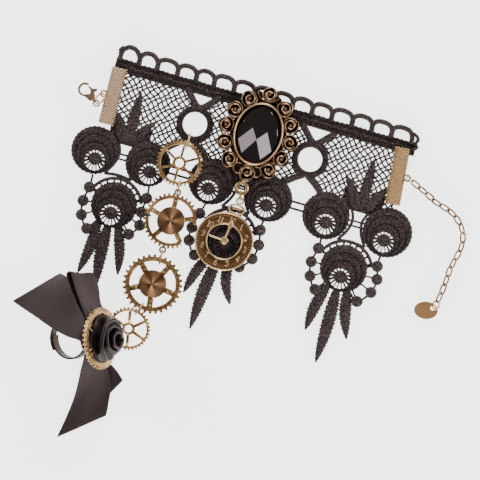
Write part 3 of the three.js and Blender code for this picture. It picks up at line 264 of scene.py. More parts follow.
def ramp(made, shader, source, stops):
    """The base colour by a ramp of (place, colour) stops, fed by a source socket."""
    links = made.node_tree.links
    node = made.node_tree.nodes.new("ShaderNodeValToRGB")
    links.new(source, node.inputs["Fac"])
    spots = node.color_ramp.elements
    while len(spots) < len(stops):
        spots.new(0.5)
    for index, (place, color) in enumerate(stops):
        spots[index].position = place
        spots[index].color = (*color, 1)
    links.new(node.outputs["Color"], shader.inputs["Base Color"])


def bump(made, shader, source, strength, depth):
    """Fine relief of the given depth in millimetres."""
    node = made.node_tree.nodes.new("ShaderNodeBump")
    node.inputs["Strength"].default_value = strength
    node.inputs["Distance"].default_value = depth * MM
    made.node_tree.links.new(source, node.inputs["Height"])
    made.node_tree.links.new(node.outputs["Normal"], shader.inputs["Normal"])


# Lace colours along the strand noise: dark thread tones, and lighter crests that are painted highlights.
LACE_TONES_AND_HIGHLIGHTS = [
    (0.38, (0.0075, 0.0053, 0.0050)), (0.52, (0.042, 0.0292, 0.0277)), (0.68, (0.190, 0.137, 0.130)),
]
STRAND = {"scale": 2300, "detail": 2, "strength": 1.0, "depth": 0.5}
WEAVE = {"scale": 1500, "detail": 1, "strength": 0.25, "depth": 0.05}
WEAR = {"scale": 160, "detail": 4, "dark": 0.3, "middle": 0.5, "bright": 0.72}
GRAIN = {"scale": 900, "detail": 3, "strength": 0.35, "depth": 0.06}
CAST_GRAIN = {"scale": 1100, "detail": 3, "strength": 0.3, "depth": 0.06}
# Places of the dark, middle and bright stops between a height-shaded metal's two levels: painted shade low,
# painted highlight high.
HEIGHT_STOPS = {"dark": 0.05, "middle": 0.55, "bright": 0.95}


def roughened(made, shader, grain):
    """Adds a grain's fine relief, and gives its texture."""
    source = noise(made, grain["scale"], grain["detail"])
    bump(made, shader, source, grain["strength"], grain["depth"])
    return source


def lace_thread():
    """Matt stitched thread, brownish black, with fine strands; the same noise that raises the strands paints
    their crests lighter, as painted highlights.
    """
    made, shader = shade("lace_thread", (0.010, 0.008, 0.008), 0.72)
    ramp(made, shader, roughened(made, shader, STRAND), LACE_TONES_AND_HIGHLIGHTS)
    shader.inputs["Specular IOR Level"].default_value = 0.2
    return made


def satin_cloth(name, color, roughness, specular):
    """Brownish black satin with a soft sheen and a very fine weave."""
    made, shader = shade(name, color, roughness)
    shader.inputs["Specular IOR Level"].default_value = specular
    shader.inputs["Specular Tint"].default_value = (1.0, 0.86, 0.86, 1)
    roughened(made, shader, WEAVE)
    return made


def antiqued(name, dark, middle, bright, roughness):
    """Antiqued metal: dark in patches, worn bright in others."""
    made, shader = shade(name, middle, roughness, 1.0)
    wear = noise(made, WEAR["scale"], WEAR["detail"])
    ramp(made, shader, wear, [(WEAR["dark"], dark), (WEAR["middle"], middle), (WEAR["bright"], bright)])
    roughened(made, shader, GRAIN)
    return made


def relief_metal(name, low, high, dark, middle, bright, roughness):
    """Metal coloured by height between two levels in mm: painted shade in its hollows and painted highlights
    on its heights.
    """
    made, shader = shade(name, middle, roughness, 1.0)
    nodes, links = made.node_tree.nodes, made.node_tree.links
    split = nodes.new("ShaderNodeSeparateXYZ")
    links.new(nodes.new("ShaderNodeTexCoord").outputs["Object"], split.inputs["Vector"])
    level = nodes.new("ShaderNodeMapRange")
    level.inputs["From Min"].default_value = low * MM
    level.inputs["From Max"].default_value = high * MM
    links.new(split.outputs["Z"], level.inputs["Value"])
    tones = {"dark": dark, "middle": middle, "bright": bright}
    ramp(made, shader, level.outputs["Result"], [(HEIGHT_STOPS[key], tones[key]) for key in tones])
    roughened(made, shader, CAST_GRAIN)
    return made


def polished_jet():
    """Black cut stone with polished facets."""
    made, shader = shade("polished_jet", (0.007, 0.004, 0.004), 0.03)
    shader.inputs["Coat Weight"].default_value = 1.0
    return made


LACE = lace_thread()
SATIN = satin_cloth("satin_cloth", (0.040, 0.0288, 0.0288), 0.60, 0.08)
# A darker copy of the satin for the rolled rose: its darkness is painted shade.
SHADED_ROSE_SATIN = satin_cloth("rose_satin_painted_shade", (0.0165, 0.0105, 0.0105), 0.42, 0.20)
THREAD, _ = shade("black_thread", (0.012, 0.010, 0.010), 0.8)
JET = polished_jet()
DARK, _ = shade("dark_brass", (0.088, 0.044, 0.022), 0.38, 1.0)
TAG, _ = shade("tag_brass", (0.58, 0.345, 0.165), 0.38, 1.0)
BRONZE, _ = shade("aged_bronze", (0.034, 0.022, 0.016), 0.46, 1.0)
PATCHY = rows("name dark middle bright roughness", [
    ("antique_brass", (0.20, 0.118, 0.048), (0.38, 0.240, 0.108), (0.62, 0.42, 0.21), 0.36),
    ("golden_brass", (0.26, 0.155, 0.080), (0.46, 0.300, 0.170), (0.68, 0.48, 0.30), 0.34),
    ("chain_brass", (0.12, 0.062, 0.036), (0.24, 0.135, 0.083), (0.38, 0.235, 0.150), 0.36),
])
ANTIQUE, GOLDEN, CHAIN = [antiqued(**row) for row in PATCHY]
# Cast, knurled and dial metals, coloured by height: painted shade in the hollows and painted highlights on the
# heights.
RAISED = rows("name low high dark middle bright roughness", [
    ("cast_brass", 2.9, 4.5, (0.042, 0.021, 0.011), (0.112, 0.058, 0.030), (0.60, 0.385, 0.235), 0.36),
    ("knurled_brass", 2.3, 2.62, (0.13, 0.074, 0.042), (0.50, 0.325, 0.200), (0.90, 0.645, 0.440), 0.40),
    ("knurled_gold", 2.3, 2.62, (0.10, 0.058, 0.024), (0.39, 0.234, 0.103), (0.86, 0.57, 0.29), 0.38),
    ("dial_brass", 3.3, 3.75, (0.120, 0.066, 0.030), (0.28, 0.160, 0.075), (0.68, 0.46, 0.24), 0.40),
])
CAST, KNURLED, KNURLED_GOLD, DIAL = [relief_metal(**row) for row in RAISED]


# Lace. Its sheet lies on the floor; heights are above that.

STITCH = 0.95
CORD_STEP = 0.32
THREAD_RADIUS = 0.45
# The net's threads: spacing, reach, length and point step, start, run and rise per length, height and
# weave, pitch and depth of the twist, and the fewest points of a kept piece.
NET = {"pitch": 3.0, "reach": 100, "length": 46, "step": 0.42, "start": -20, "run": 0.71, "rise": 0.70,
       "level": 0.55, "weave": 0.16, "twist": 0.8, "ripple": 0.14, "shortest": 4}
GAP_RADIUS = 4.4
GAP_SHIFT = 0.75
RIDGES = 3
# Section of a stitched ridge: shares of its width and of its height, and the depth of its ripple.
RIDGE = {"shares": (0, 1, 1, 0.82, 0.5, 0.18, 0), "lifts": (0, 0, 0.62, 0.92, 1, 0.92, 0.62), "ripple": 0.2}
# Radius and height rows of a rose's button and of a thread bead.
BUTTON = [(0, 0), (2.6, 0), (2.9, 0.7), (2.3, 1.35), (1.7, 1.3), (1.1, 1.85), (0, 2.0)]
BEAD = [(0, 0), (1.6, 0.05), (2.4, 0.5), (2.58, 1.0), (2.35, 1.55), (1.7, 1.85), (0.9, 1.97), (0, 2.0)]
SPOKE = {"count": 15, "near": 2.3, "over": 0.3, "level": 0.75, "thin": 0.28, "swell": 0.35, "power": 2.5}

ROSES = rows("x y r bx by", [
    (-67.0, -26.0, 10.4, -66.0, -29.7), (-43.0, -25.5, 9.8, -41.3, -28.8), (-14.0, -25.2, 10.0, -14.5, -28.7),
    (12.5, -25.5, 10.0, 12.0, -28.7), (38.5, -25.8, 10.3, 39.2, -28.8), (66.5, -25.5, 10.8, 66.0, -29.3),
    (-52.4, -47.0, 10.0, -52.8, -50.8), (-0.5, -46.5, 10.2, -0.5, -50.0), (52.3, -46.0, 10.3, 52.0, -50.0),
])
MOTIFS = rows("x", [(-54.2,), (-0.5,), (52.4,)])
EYELETS = rows("x y hole r", [(-28.0, -3.0, 5.3, 8.2), (25.0, -4.0, 5.3, 8.2)])
# Where the scallops' posts stand along the band, and how much higher the first loops rise.
POSTS = [-67.5, -59, -50.7, -41.5, -33, -24.8, -15.7, -6.5, 2.3, 11, 20, 29, 38.3, 47.3, 56.3, 65.5]
LOOP_LIFTS = [0.9, 0.5]
FRAYED = [
    [(65.5, 19.6), (67.4, 18.6), (68.3, 17.2), (67.6, 15.5), (68.6, 13.9), (67.4, 12.6)],
    [(-67.6, 17.8), (-68.5, 19.4), (-67.2, 21.2)],
]
BAND = {"left": -69.0, "right": 68.4, "low": 9.9, "high": 15.7, "step": 0.24, "across": 22, "rung": 1.05}
BAND_CORDS = {"places": (0.06, 0.52, 0.94), "width": 0.07}
UPPER_LEAVES = rows("bx by tx ty width bend", [
    (-0.2, -18.5, -0.2, 3.9, 5.2, 0.0), (-2.4, -19.0, -10.3, -6.2, 4.4, -1.0),
    (2.4, -19.0, 9.6, -7.0, 4.4, 1.0), (-1.4, -19.5, -6.2, -9.0, 3.2, -0.5),
    (1.4, -19.5, 6.0, -9.5, 3.2, 0.5),
])
HANGING_LEAVES = rows("bx by tx ty width bend", [
    (-57.0, -55.5, -59.6, -80.0, 5.2, 0.8), (-52.5, -56.0, -50.4, -84.0, 5.8, -0.6),
    (-48.2, -55.5, -42.4, -76.0, 5.0, 0.8), (-5.5, -55.5, -12.5, -75.5, 5.0, -0.8),
    (-2.0, -56.0, -5.4, -90.0, 6.0, -0.5), (3.0, -55.5, 8.6, -75.0, 5.0, -1.8),
    (47.5, -55.0, 43.5, -76.5, 5.5, -0.8), (52.0, -56.0, 51.8, -89.0, 6.0, 0.4),
    (56.5, -54.5, 62.0, -75.5, 5.5, -0.8),
])
# Strings of thread beads: where each is tied, its beads, and where it ends.
STRINGS = [
    [(-65.0, -36.5), (-65.0, -42.4), (-66.0, -48.8), (-65.0, -55.0), (-61.1, -60.2), (-57.5, -56.5)],
    [(-39.8, -34.5), (-39.4, -40.2), (-40.0, -46.7), (-39.1, -52.5), (-42.6, -57.6), (-46.8, -55.5)],
    [(-13.8, -35.0), (-15.1, -40.1), (-16.8, -47.0), (-16.4, -52.8), (-12.4, -58.3), (-6.0, -56.0)],
    [(12.6, -35.0), (12.5, -39.9), (13.6, -46.4), (12.5, -53.0), (8.0, -58.0), (4.5, -56.0)],
    [(39.2, -35.5), (39.2, -40.5), (37.8, -47.0), (39.0, -53.2), (42.7, -58.3), (46.5, -55.0)],
    [(66.3, -36.0), (66.3, -41.0), (67.8, -46.6), (66.8, -52.8), (62.0, -58.3), (57.5, -55.0)],
]
# Outlines of the net's four fields.
NETS = [
    [(-63.5, 10.5), (-35.2, 10.5), (-32.8, 8), (-31, 4.5), (-34.3, 0), (-35, -3), (-34, -7), (-31, -10),
     (-32.6, -12.6), (-36.2, -15.6), (-38.5, -18.5), (-49, -19.5), (-56, -18), (-63, -17)],
    [(-20.8, 10.5), (-8, 10.5), (-8, -14), (-14, -18), (-17.5, -18.5), (-19.8, -15.6), (-23.4, -12.6),
     (-25, -10), (-22, -7), (-21, -3), (-21.5, 0), (-25, 4.5), (-23.4, 8)],
    [(8, 10.5), (17.8, 10.5), (20.4, 7), (22, 3.8), (18.7, -1), (18, -4), (19, -8), (22, -11), (20.4, -13.6),
     (16.8, -16.6), (14.5, -19.5), (8, -18)],
    [(32.2, 10.5), (63.5, 10.5), (66, -16), (58, -18), (48, -19.5), (35.5, -19.5), (33.2, -16.6),
     (29.6, -13.6), (28, -11), (31, -8), (32, -4), (31.3, -1), (28, 3.8), (29.6, 7)],
]


def rope(stops, radius, height=None, z=None, ripple=0.12, sides=8):
    """A stitched cord: its radius ripples once a stitch."""
    stops = [(*stop[:2], stop[2] if len(stop) > 2 else (z or radius)) for stop in stops]
    path = smooth_path(stops, CORD_STEP)
    wave = 1 + ripple * np.cos(np.arange(len(path)) * CORD_STEP / STITCH * TAU)
    return sweep(path, radius * wave, (height or radius) * wave, sides)


def inside(points, outline):
    """Whether each point lies inside the outline, by the crossings of a level ray."""
    x, y = points[:, :1], points[:, 1:2]
    a = np.asarray(outline, float)
    b = np.roll(a, -1, 0)
    crosses = (a[:, 1] > y) != (b[:, 1] > y)
    where = a[:, 0] + (y - a[:, 1]) / (b[:, 1] - a[:, 1] + 1e-12) * (b[:, 0] - a[:, 0])
    return (crosses & (x < where)).sum(1) % 2 == 1


def net():
    """Two families of slanting threads, each a line with a slight wave, cut off at the outlines."""
    step = NET["step"]
    parts = []
    for slope, phase in ((1, 0.0), (-1, 1.3)):
        for start in np.arange(-NET["reach"], NET["reach"], NET["pitch"]):
            s = np.arange(0, NET["length"], step)
            wave = 0.24 * np.sin(s * 0.55 + start * 1.7 + phase) + 0.07 * np.sin(s * 1.9 + start)
            x = start + slope * s * NET["run"] + wave
            y = NET["start"] + s * NET["rise"] - slope * wave
            z = NET["level"] + NET["weave"] * slope * np.cos(s * 3.1)
            line = np.column_stack([x, y, z])
            kept = np.any([inside(line[:, :2], outline) for outline in NETS], axis=0)
            edges = np.flatnonzero(np.diff(np.concatenate([[False], kept, [False]]).astype(int)))
            for first, last in edges.reshape(-1, 2):
                n = last - first
                if n >= NET["shortest"]:
                    twist = 1 + NET["ripple"] * np.cos(np.arange(n) * step / NET["twist"] * TAU)
                    wide = THREAD_RADIUS * twist
                    parts.append(sweep(line[first:last], wide, wide, 5))
    return parts


def ridge(inner, outer, low, high, ribs, count=168, picot=0.0):
    """A domed ring between two circles (x, y, radius); satin stitches across it ripple its height."""
    a = around(count)
    ring = np.column_stack([np.cos(a), np.sin(a)])
    frill = picot * np.abs(np.sin(a * ribs / 4))
    near = np.asarray(inner[:2]) + ring * inner[2]
    far = np.asarray(outer[:2]) + ring * (outer[2] + frill)[:, None]
    shares, lift = np.array(RIDGE["shares"]), np.array(RIDGE["lifts"])
    ripple = RIDGE["ripple"] * np.cos(a * ribs)
    xy = near + (far - near) * shares[:, None, None]
    z = low + (high - low) * lift[:, None] + ripple * (lift > 0)[:, None]
    points = np.concatenate([xy, z[..., None]], -1)
    return points.reshape(-1, 3), grid_faces(len(shares), count, round_rows=True)


def rose(x, y, r, bx, by):
    """A spiral rose: a button, spokes across its gap, and ridges on circles from the gap out to the rim."""
    parts = [lathe(BUTTON, 32, (bx, by, 0), swell=0.03, lobes=16)]
    gap = (bx, by - GAP_SHIFT)
    reach = GAP_RADIUS + SPOKE["over"]
    for k in range(SPOKE["count"]):
        a = math.radians(90) + (k + 0.5) / SPOKE["count"] * TAU
        near = (bx + SPOKE["near"] * math.cos(a), by + SPOKE["near"] * math.sin(a), SPOKE["level"])
        far = (gap[0] + reach * math.cos(a), gap[1] + reach * math.sin(a), SPOKE["level"])
        wide = SPOKE["thin"] + SPOKE["swell"] * abs(math.cos(a)) ** SPOKE["power"]
        parts.append(rope([near, far], wide, height=0.5, sides=6))
    circles = []
    for k in range(RIDGES + 1):
        t = k / RIDGES
        radius = GAP_RADIUS + (r - GAP_RADIUS) * t
        circles.append((gap[0] + (x - gap[0]) * t, gap[1] + (y - gap[1]) * t, radius))
    for k, (inner, outer) in enumerate(zip(circles, circles[1:])):
        picot = 0.35 if k == RIDGES - 1 else 0
        parts.append(ridge(inner, outer, 0.0, 1.75 - 0.12 * k, 40 + 12 * k, picot=picot))
    return parts


def leaf(bx, by, tx, ty, width, bend, low=0.0, high=1.5):
    """A stitched leaf: its half width follows a power of sin(pi t), with a toothed edge and a vein."""
    length = math.hypot(tx - bx, ty - by)
    side = ((by - ty) / length, (tx - bx) / length)
    middle = ((bx + tx) / 2 + side[0] * bend, (by + ty) / 2 + side[1] * bend)
    path = smooth_path([(bx, by, 0), (*middle, 0), (tx, ty, 0)], 0.3)
    t = np.linspace(0, 1, len(path))
    spread = np.sin(math.pi * np.clip(0.1 + 0.9 * t, 0, 1) ** 0.9)
    wide = width / 2 * np.maximum(spread, 0.06) ** 0.62
    teeth = 1 + 0.10 * np.cos(t * length / 1.3 * TAU) + 0.06 * np.cos(t * length / 2.1 * TAU + bend)
    path[:, 2] = (low + high) / 2
    swell = 0.5 + 0.5 * np.sin(math.pi * np.clip(t, 0.03, 0.97))
    tall = (high - low) / 2 * swell * (1 + 0.12 * np.cos(t * length / STITCH * TAU))
    vein = path[2:-6] + np.array([0, 0, 1]) * (tall[2:-6, None] - 0.08)
    return [sweep(path, wide * teeth, tall, 12), sweep(vein, 0.3, 0.25, 6)]


def scallops():
    """A row of cords, each rising from a post, over and down to the next, and two frayed ends."""
    parts = []
    for k, (a, b) in enumerate(zip(POSTS, POSTS[1:])):
        lift = LOOP_LIFTS[k] if k < len(LOOP_LIFTS) else 0.0
        parts.append(rope([
            (a, 14.8), (a - 0.1, 17.4), (a + 0.4, 19.3 + lift / 2), (a + 2.2, 20.5 + lift),
            ((a + b) / 2 + 0.3, 20.7 + lift), (b - 2.0, 20.2 + lift / 2), (b - 0.5, 18.8),
            (b + 0.1, 16.8), (b + 0.1, 14.8),
        ], 1.17, height=0.9, z=0.9))
    return parts + [rope(end, 0.8, z=0.9, ripple=0.3) for end in FRAYED]


def header_band():
    """The braided band: three cords and two rows of ladder stitches, as heights over a flat underside."""
    x = np.arange(BAND["left"], BAND["right"], BAND["step"])
    share = np.linspace(0, 1, BAND["across"])
    places, width = BAND_CORDS["places"], BAND_CORDS["width"]
    cords = np.maximum.reduce([np.exp(-(((share - place) / width) ** 2)) for place in places])
    shift = np.where(share > places[1], 0.0, math.pi)
    rungs = 0.5 + 0.5 * np.cos(x[:, None] / BAND["rung"] * TAU + shift)
    edge = np.minimum(1, 12 * share * (1 - share))
    top = 0.3 + 0.95 * edge * np.maximum(cords, 0.8 * rungs * (1 - cords))
    sway = 0.12 * np.sin(x / 2.9) + 0.16 * np.sin(x / BAND["rung"] * TAU / 2)
    low = BAND["low"] + 0.25 * sway
    high = BAND["high"] + sway + np.where(x < -60, 0.4, 0.0)
    y = low[:, None] + (high - low)[:, None] * share
    upper = np.stack([np.broadcast_to(x[:, None], y.shape), y, top], -1)
    under = upper[:, ::-1] * [1, 1, 0] + [0, 0, 0.1]
    return [turned(tube(np.concatenate([upper, under], 1), False))]


# Outlines of the stitched patch under the cameo and of a leaf group's stem.
UNDER_CAMEO = [
    (-7.5, -17.0), (0.0, -15.5), (7.5, -17.0), (6.8, -21.5), (4.4, -24.6), (0.0, -24.0), (-4.4, -24.6),
    (-6.8, -21.5),
]
STEM = [
    (-9.5, -10.5), (-5, -15), (0, -12.5), (5, -15), (9.5, -10.5), (9.0, -17), (6.4, -20.4), (-6.4, -20.4),
    (-9.0, -17),
]
STEM_CORD = [(3.9, -19.5), (2.4, -23), (2.2, -26), (3.4, -30), (6.2, -34.6)]
# Bands that run on from an eyelet: sideways and upwards from its middle.
EYELET_BANDS = [
    [(7.8, 14.4), (4.6, 11.0), (1.2, 7.8), (-3.2, 6.3)],
    [(1.0, -7.2), (4.6, -9.6), (8.2, -12.6), (10.5, -15.5)],
]


def eyelet(x, y, hole, r):
    """A stitched ring and the crossing bands that run on from it to the header and to the roses."""
    parts = [ridge((x, y, hole), (x, y, r), 0.0, 1.55, 72, count=288)]
    for side in (-1, 1):
        for band in EYELET_BANDS:
            stops = [(x + side * a, y + b) for a, b in band]
            parts.append(rope(stops, 1.55, height=0.6, z=0.75))
    return parts


def motif(x):
    """Ground of a leaf group: its stem patch, and the cords that frame the gaps between the roses."""
    parts = [dome([(x + a, b) for a, b in STEM], 0.0, 0.9)]
    for y in (-24.9, -27.1):
        parts.append(rope([(x - 5.5, y), (x, y + 0.25), (x + 5.5, y)], 0.48, z=0.6, sides=6))
    for side in (-1, 1):
        parts.append(rope([(x + side * a, b) for a, b in STEM_CORD], 0.7, z=0.6))
    parts.append(rope([(x - 6.2, -34.6), (x, -33.9), (x + 6.2, -34.6)], 0.75, z=0.65))
    return parts


def lower_frame(x, y, r):
    """Outer cord over a lower rose, with short ties, so that slits show between them."""
    reach = r + 2.0
    angles = np.radians(np.linspace(18, 162, 17))
    line = [(x + reach * math.cos(a), y + reach * 0.98 * math.sin(a), 0.65) for a in angles]
    parts = [rope(line, 0.78)]
    for a in np.radians((24, 42, 58, 75, 90, 105, 122, 138, 156)):
        ends = [(x + k * math.cos(a), y + k * math.sin(a), 0.6) for k in (r - 0.8, reach)]
        parts.append(rope(ends, 0.5, sides=6))
    return parts


def bead_string(stops, x, y, r):
    """Thread beads on a thin cord, each tied to the rose beside it."""
    parts = [rope(stops, 0.52, z=0.7)]
    for bead_x, bead_y in stops[1:-1]:
        reach = math.hypot(x - bead_x, y - bead_y)
        share = (reach - r + 0.6) / reach
        far = (bead_x + (x - bead_x) * share, bead_y + (y - bead_y) * share)
        parts.append(rope([(bead_x, bead_y), far], 0.42, z=0.6, sides=6))
        parts.append(lathe(BEAD, 30, (bead_x, bead_y, 0), swell=0.035, lobes=15))
    return parts


def shifted(row, x):
    """A leaf's row, moved along the band."""
    return {**row, "bx": row["bx"] + x, "tx": row["tx"] + x}


def make_lace():
    """All the lace's objects; together they stand for the CAD's lace."""
    stitched = {"slot": "lace", "material": LACE}
    add("lace_net", net(), stands_for=["lace"], **stitched)
    add("lace_header", header_band(), **stitched)
    add("lace_scallops", scallops(), **stitched)
    add("lace_eyelets", [part for row in EYELETS for part in eyelet(**row)], **stitched)
    upper, lower = ROSES[:6], ROSES[6:]
    add("lace_roses_upper", [part for row in upper for part in rose(**row)], **stitched)
    add("lace_roses_lower", [part for row in lower for part in rose(**row)], **stitched)
    leaves = []
    for m in (MOTIFS[0], MOTIFS[2]):
        for row in UPPER_LEAVES:
            leaves += leaf(**shifted(row, m["x"]), low=0.35, high=1.75)
    add("lace_leaves", leaves + [part for row in HANGING_LEAVES for part in leaf(**row)], **stitched)
    ground = [part for m in MOTIFS for part in motif(m["x"])]
    for row in lower:
        ground += lower_frame(row["x"], row["y"], row["r"])
    ground.append(dome([(MOTIFS[1]["x"] + a, b) for a, b in UNDER_CAMEO], 0.0, 0.9))
    # A dark lace disc fills the gap of the rose under the clock: a painted shadow of the clock, where the gap
    # would show the floor.
    filled = [(0, 0), (GAP_RADIUS + 0.6, 0), (GAP_RADIUS + 0.6, 0.45), (0, 0.55)]
    ground.append(lathe(filled, 40, (lower[1]["bx"], lower[1]["by"] - GAP_SHIFT, 0)))
    for left, right in ((upper[1], upper[2]), (upper[3], upper[4])):
        for y in (-23.8, -26.8):
            ground.append(rope([(left["x"] + 9.0, y), (right["x"] - 9.0, y)], 0.55, z=0.6))
    add("lace_ground", ground, **stitched)
    beads = []
    for k, stops in enumerate(STRINGS):
        own = lower[k // 2]
        beads += bead_string(stops, own["x"], own["y"], own["r"])
    add("lace_beads", beads, **stitched)


make_lace()


# Measures of the satin bow and of the rolled rose, and the frame of the gear that they are tied to.

RIBBON = {"width": 22.0, "wall": 0.4, "points_across": 34, "points_between": 14, "step": 0.2}
ROSE = {"radius": 9.2, "depth": 8.8, "turns": 2.7, "wall": 0.4, "points_round": 260, "points_up": 26}
ROSE_FOLD = {"start": 0.72, "turn": 215, "radius": 0.85}
ROSE_BASE = {"inner": 2.0, "outer": 10.1, "waves": 5}
BOW_ORIGIN = (-41.0, -104.0, 14.65)
BOW_TILT, BOW_HEADING = math.radians(60), math.radians(17)


def bow_basis():
    """The gear's frame: down its slope, level along it, and out from its face."""
    rise = math.pi / 2 - BOW_TILT
    out = [math.cos(rise) * math.cos(BOW_HEADING), math.cos(rise) * math.sin(BOW_HEADING), math.sin(rise)]
    level = [-math.sin(BOW_HEADING), math.cos(BOW_HEADING), 0]
    return np.array([np.cross(level, out), level, out])


BOW_BASIS = bow_basis()

# Each ribbon at its stations: x y z of one edge and x y z of the other, as shares of the ribbon's width
# from the gear's middle.
EDGES = {
    "bow_loop": [
        (-0.15, -0.14, 0.21, 0.09, -0.07, -0.22), (-0.31, 0.24, 0.29, 0.04, 0.34, -0.34),
        (-0.52, 0.51, 0.22, -0.22, 0.64, -0.39), (-0.76, 0.82, 0.11, -0.35, 0.91, -0.49),
        (-0.91, 1.05, 0.00, -0.47, 1.09, -0.53), (-0.97, 1.08, -0.03, -0.55, 1.16, -0.54),
        (-0.99, 1.00, -0.07, -0.62, 1.08, -0.55), (-0.86, 0.81, 0.03, -0.49, 0.85, -0.52),
        (-0.62, 0.52, 0.14, -0.34, 0.60, -0.43), (-0.34, 0.23, 0.27, 0.00, 0.33, -0.36),
        (-0.18, -0.15, 0.19, 0.06, -0.08, -0.24),
    ],
    "ribbon_tail_left": [
        (-0.01, -0.15, -0.19, -0.11, 0.18, -0.19), (-0.22, -0.22, 0.21, -0.29, 0.14, 0.21),
        (-0.39, -0.14, 0.27, -0.37, 0.24, 0.26), (-0.64, -0.14, 0.13, -0.53, 0.50, 0.06),
        (-0.99, -0.08, -0.10, -0.81, 0.79, -0.17), (-1.41, 0.04, -0.35, -0.99, 0.95, -0.35),
        (-1.75, 0.13, -0.55, -1.11, 0.98, -0.50), (-1.94, 0.19, -0.64, -1.18, 0.98, -0.58),
    ],
    "ribbon_tail_lower": [
        (-0.28, 0.01, 0.11, -0.10, 0.06, -0.21), (-0.21, -0.40, 0.19, 0.03, -0.32, -0.25),
        (-0.21, -0.63, 0.04, 0.27, -0.59, -0.46), (-0.20, -0.95, -0.26, 0.43, -0.93, -0.56),
        (-0.21, -1.32, -0.48, 0.47, -1.23, -0.60), (-0.27, -1.77, -0.60, 0.49, -1.41, -0.62),
        (-0.34, -2.19, -0.64, 0.49, -1.50, -0.64),
    ],
    "ribbon_tail_right": [
        (-0.16, -0.05, -0.15, -0.05, -0.01, -0.34), (-0.05, -0.36, -0.17, 0.07, -0.32, -0.39),
        (0.04, -0.61, -0.46, 0.31, -0.48, -0.58), (0.16, -0.84, -0.62, 0.48, -0.60, -0.63),
        (0.44, -1.06, -0.64, 0.62, -0.73, -0.64),
    ],
}


# Brass trims. Heights follow the CAD's own nodes.

UPPER_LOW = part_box("gear_1")[0].z / MM
LOWER_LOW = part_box("gear_3")[0].z / MM
GEAR_THICK = 1.2
# Raised lips of a gear's rim, and the two ridges along a grooved spoke.
GEAR_LIP = {"inner": 0.3, "outer": 0.25, "half_width": 0.2, "half_height": 0.16}
GROOVE = {"share": 0.34, "wide": 0.26, "low": 0.15, "high": 0.12}
GEARS = rows("name x y tip root rim teeth spokes first spoke hub hole", [
    ("gear_1", -29.7, -21.4, 10.3, 9.4, 8.2, 36, 6, 30, 1.1, 3.0, 1.9),
    ("gear_2", -26.3, -46.8, 12.3, 11.2, 9.7, 36, 5, 93, 2.2, 6.2, 0),
    ("gear_3", -26.5, -75.7, 13.2, 12.1, 10.1, 32, 5, 62, 2.6, 6.2, 0),
    ("gear_4", -31.2, -97.3, 9.7, 8.9, 7.9, 34, 6, 40, 1.3, 2.8, 1.6),
    ("gear_5", -41.0, -104.0, 13.4, 12.2, 10.6, 40, 5, 0, 2.4, 6.5, 0),
])
BROKEN = {"start": 6, "stop": 310, "plain_to": 34}
CONE = {"radius": 6.0, "height": 6.5}
GEAR_FOUR_TILT = 8.5
RIVET = [(0, 0), (0.75, 0), (0.6, 0.35), (0, 0.5)]
RIVET_PLACE = 7.1
CLOCK = {"x": -1.5, "y": -49.0, "low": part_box("clock")[0].z / MM, "plate": 1.0, "turn": -6}
DIAL_RING = {"outer": 12.95, "inner": 7.4, "lip_in": 0.4, "lip_wide": 0.4, "lip_high": 0.42}
TICKS = {"count": 60, "near": 11.2, "far": 12.15, "wide": 0.5, "high": 0.17}
FIGURE = {"radius": 9.75, "height": 2.5, "stroke": 0.24}
# Strokes of each figure, as points in shares of its height from its middle.
STROKES = {
    "0": [[(0, .5), (-.25, .2), (-.25, -.2), (0, -.5), (.25, -.2), (.25, .2), (0, .5)]],
    "1": [[(-.16, .3), (0, .5)], [(.02, .5), (.02, -.5)], [(-.16, -.5), (.2, -.5)]],
    "2": [[(-.25, .25), (-.1, .48), (.15, .45), (.22, .2), (-.05, -.15), (-.27, -.48)],
          [(-.27, -.5), (.28, -.46)]],
    "3": [[(-.25, .35), (0, .5), (.22, .3), (0, .04), (.25, -.25), (0, -.5), (-.27, -.35)]],
    "4": [[(.12, -.5), (.12, .5)], [(.1, .5), (-.28, -.2)], [(-.28, -.2), (.3, -.2)]],
    "5": [[(.22, .5), (-.2, .5)], [(-.2, .5), (-.22, .1), (.05, .12), (.25, -.15), (.1, -.45), (-.25, -.42)]],
    "6": [[(.18, .48), (-.15, .25), (-.25, -.15), (-.1, -.48), (.18, -.42), (.22, -.12), (0, .05),
           (-.22, -.12)]],
    "7": [[(-.25, .5), (.25, .5)], [(.25, .5), (-.02, 0), (-.08, -.5)]],
    "8": [[(0, .03), (-.2, .25), (0, .5), (.2, .25), (0, .03), (-.25, -.25), (0, -.5), (.25, -.25),
           (0, .03)]],
    "9": [[(-.18, -.48), (.15, -.25), (.25, .15), (.1, .48), (-.18, .42), (-.22, .12), (0, -.05),
           (.22, .12)]],
}
CAMEO = {"low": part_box("cameo_frame")[0].z / MM, "rim_x": 10.0, "rim_y": 13.1, "web": 2.4, "twists": 54}
FLOWERS = rows("x y r", [
    (0.1, 18.4, 3.0), (-8.0, 14.2, 3.4), (8.3, 14.1, 3.4), (-12.7, 8.0, 3.4), (12.7, 7.7, 3.4),
    (-14.7, 0.6, 3.4), (14.4, 0.4, 3.4), (-13.2, -6.8, 3.4), (12.7, -7.5, 3.4), (-9.2, -13.7, 3.4),
    (8.5, -13.7, 3.4), (-0.1, -17.2, 3.3),
])
PETALS = rows("x y r", [
    (-4.0, 17.0, 1.9), (4.0, 17.0, 1.9), (-4.2, -16.0, 1.9), (3.6, -15.6, 1.9), (-0.2, -20.0, 1.6),
])

# Raised lips of the fan over the top rose and of the scrolls round the lowest one.
LIPS = rows("x y r start span flat", [
    (-0.2, 19.2, 5.0, 190, 160, 0.85), (-4.3, -16.3, 2.3, 60, 240, 1.0), (3.8, -16.0, 2.2, -120, 240, 1.0),
    (-0.2, -18.6, 3.0, 205, 130, 0.85),
])

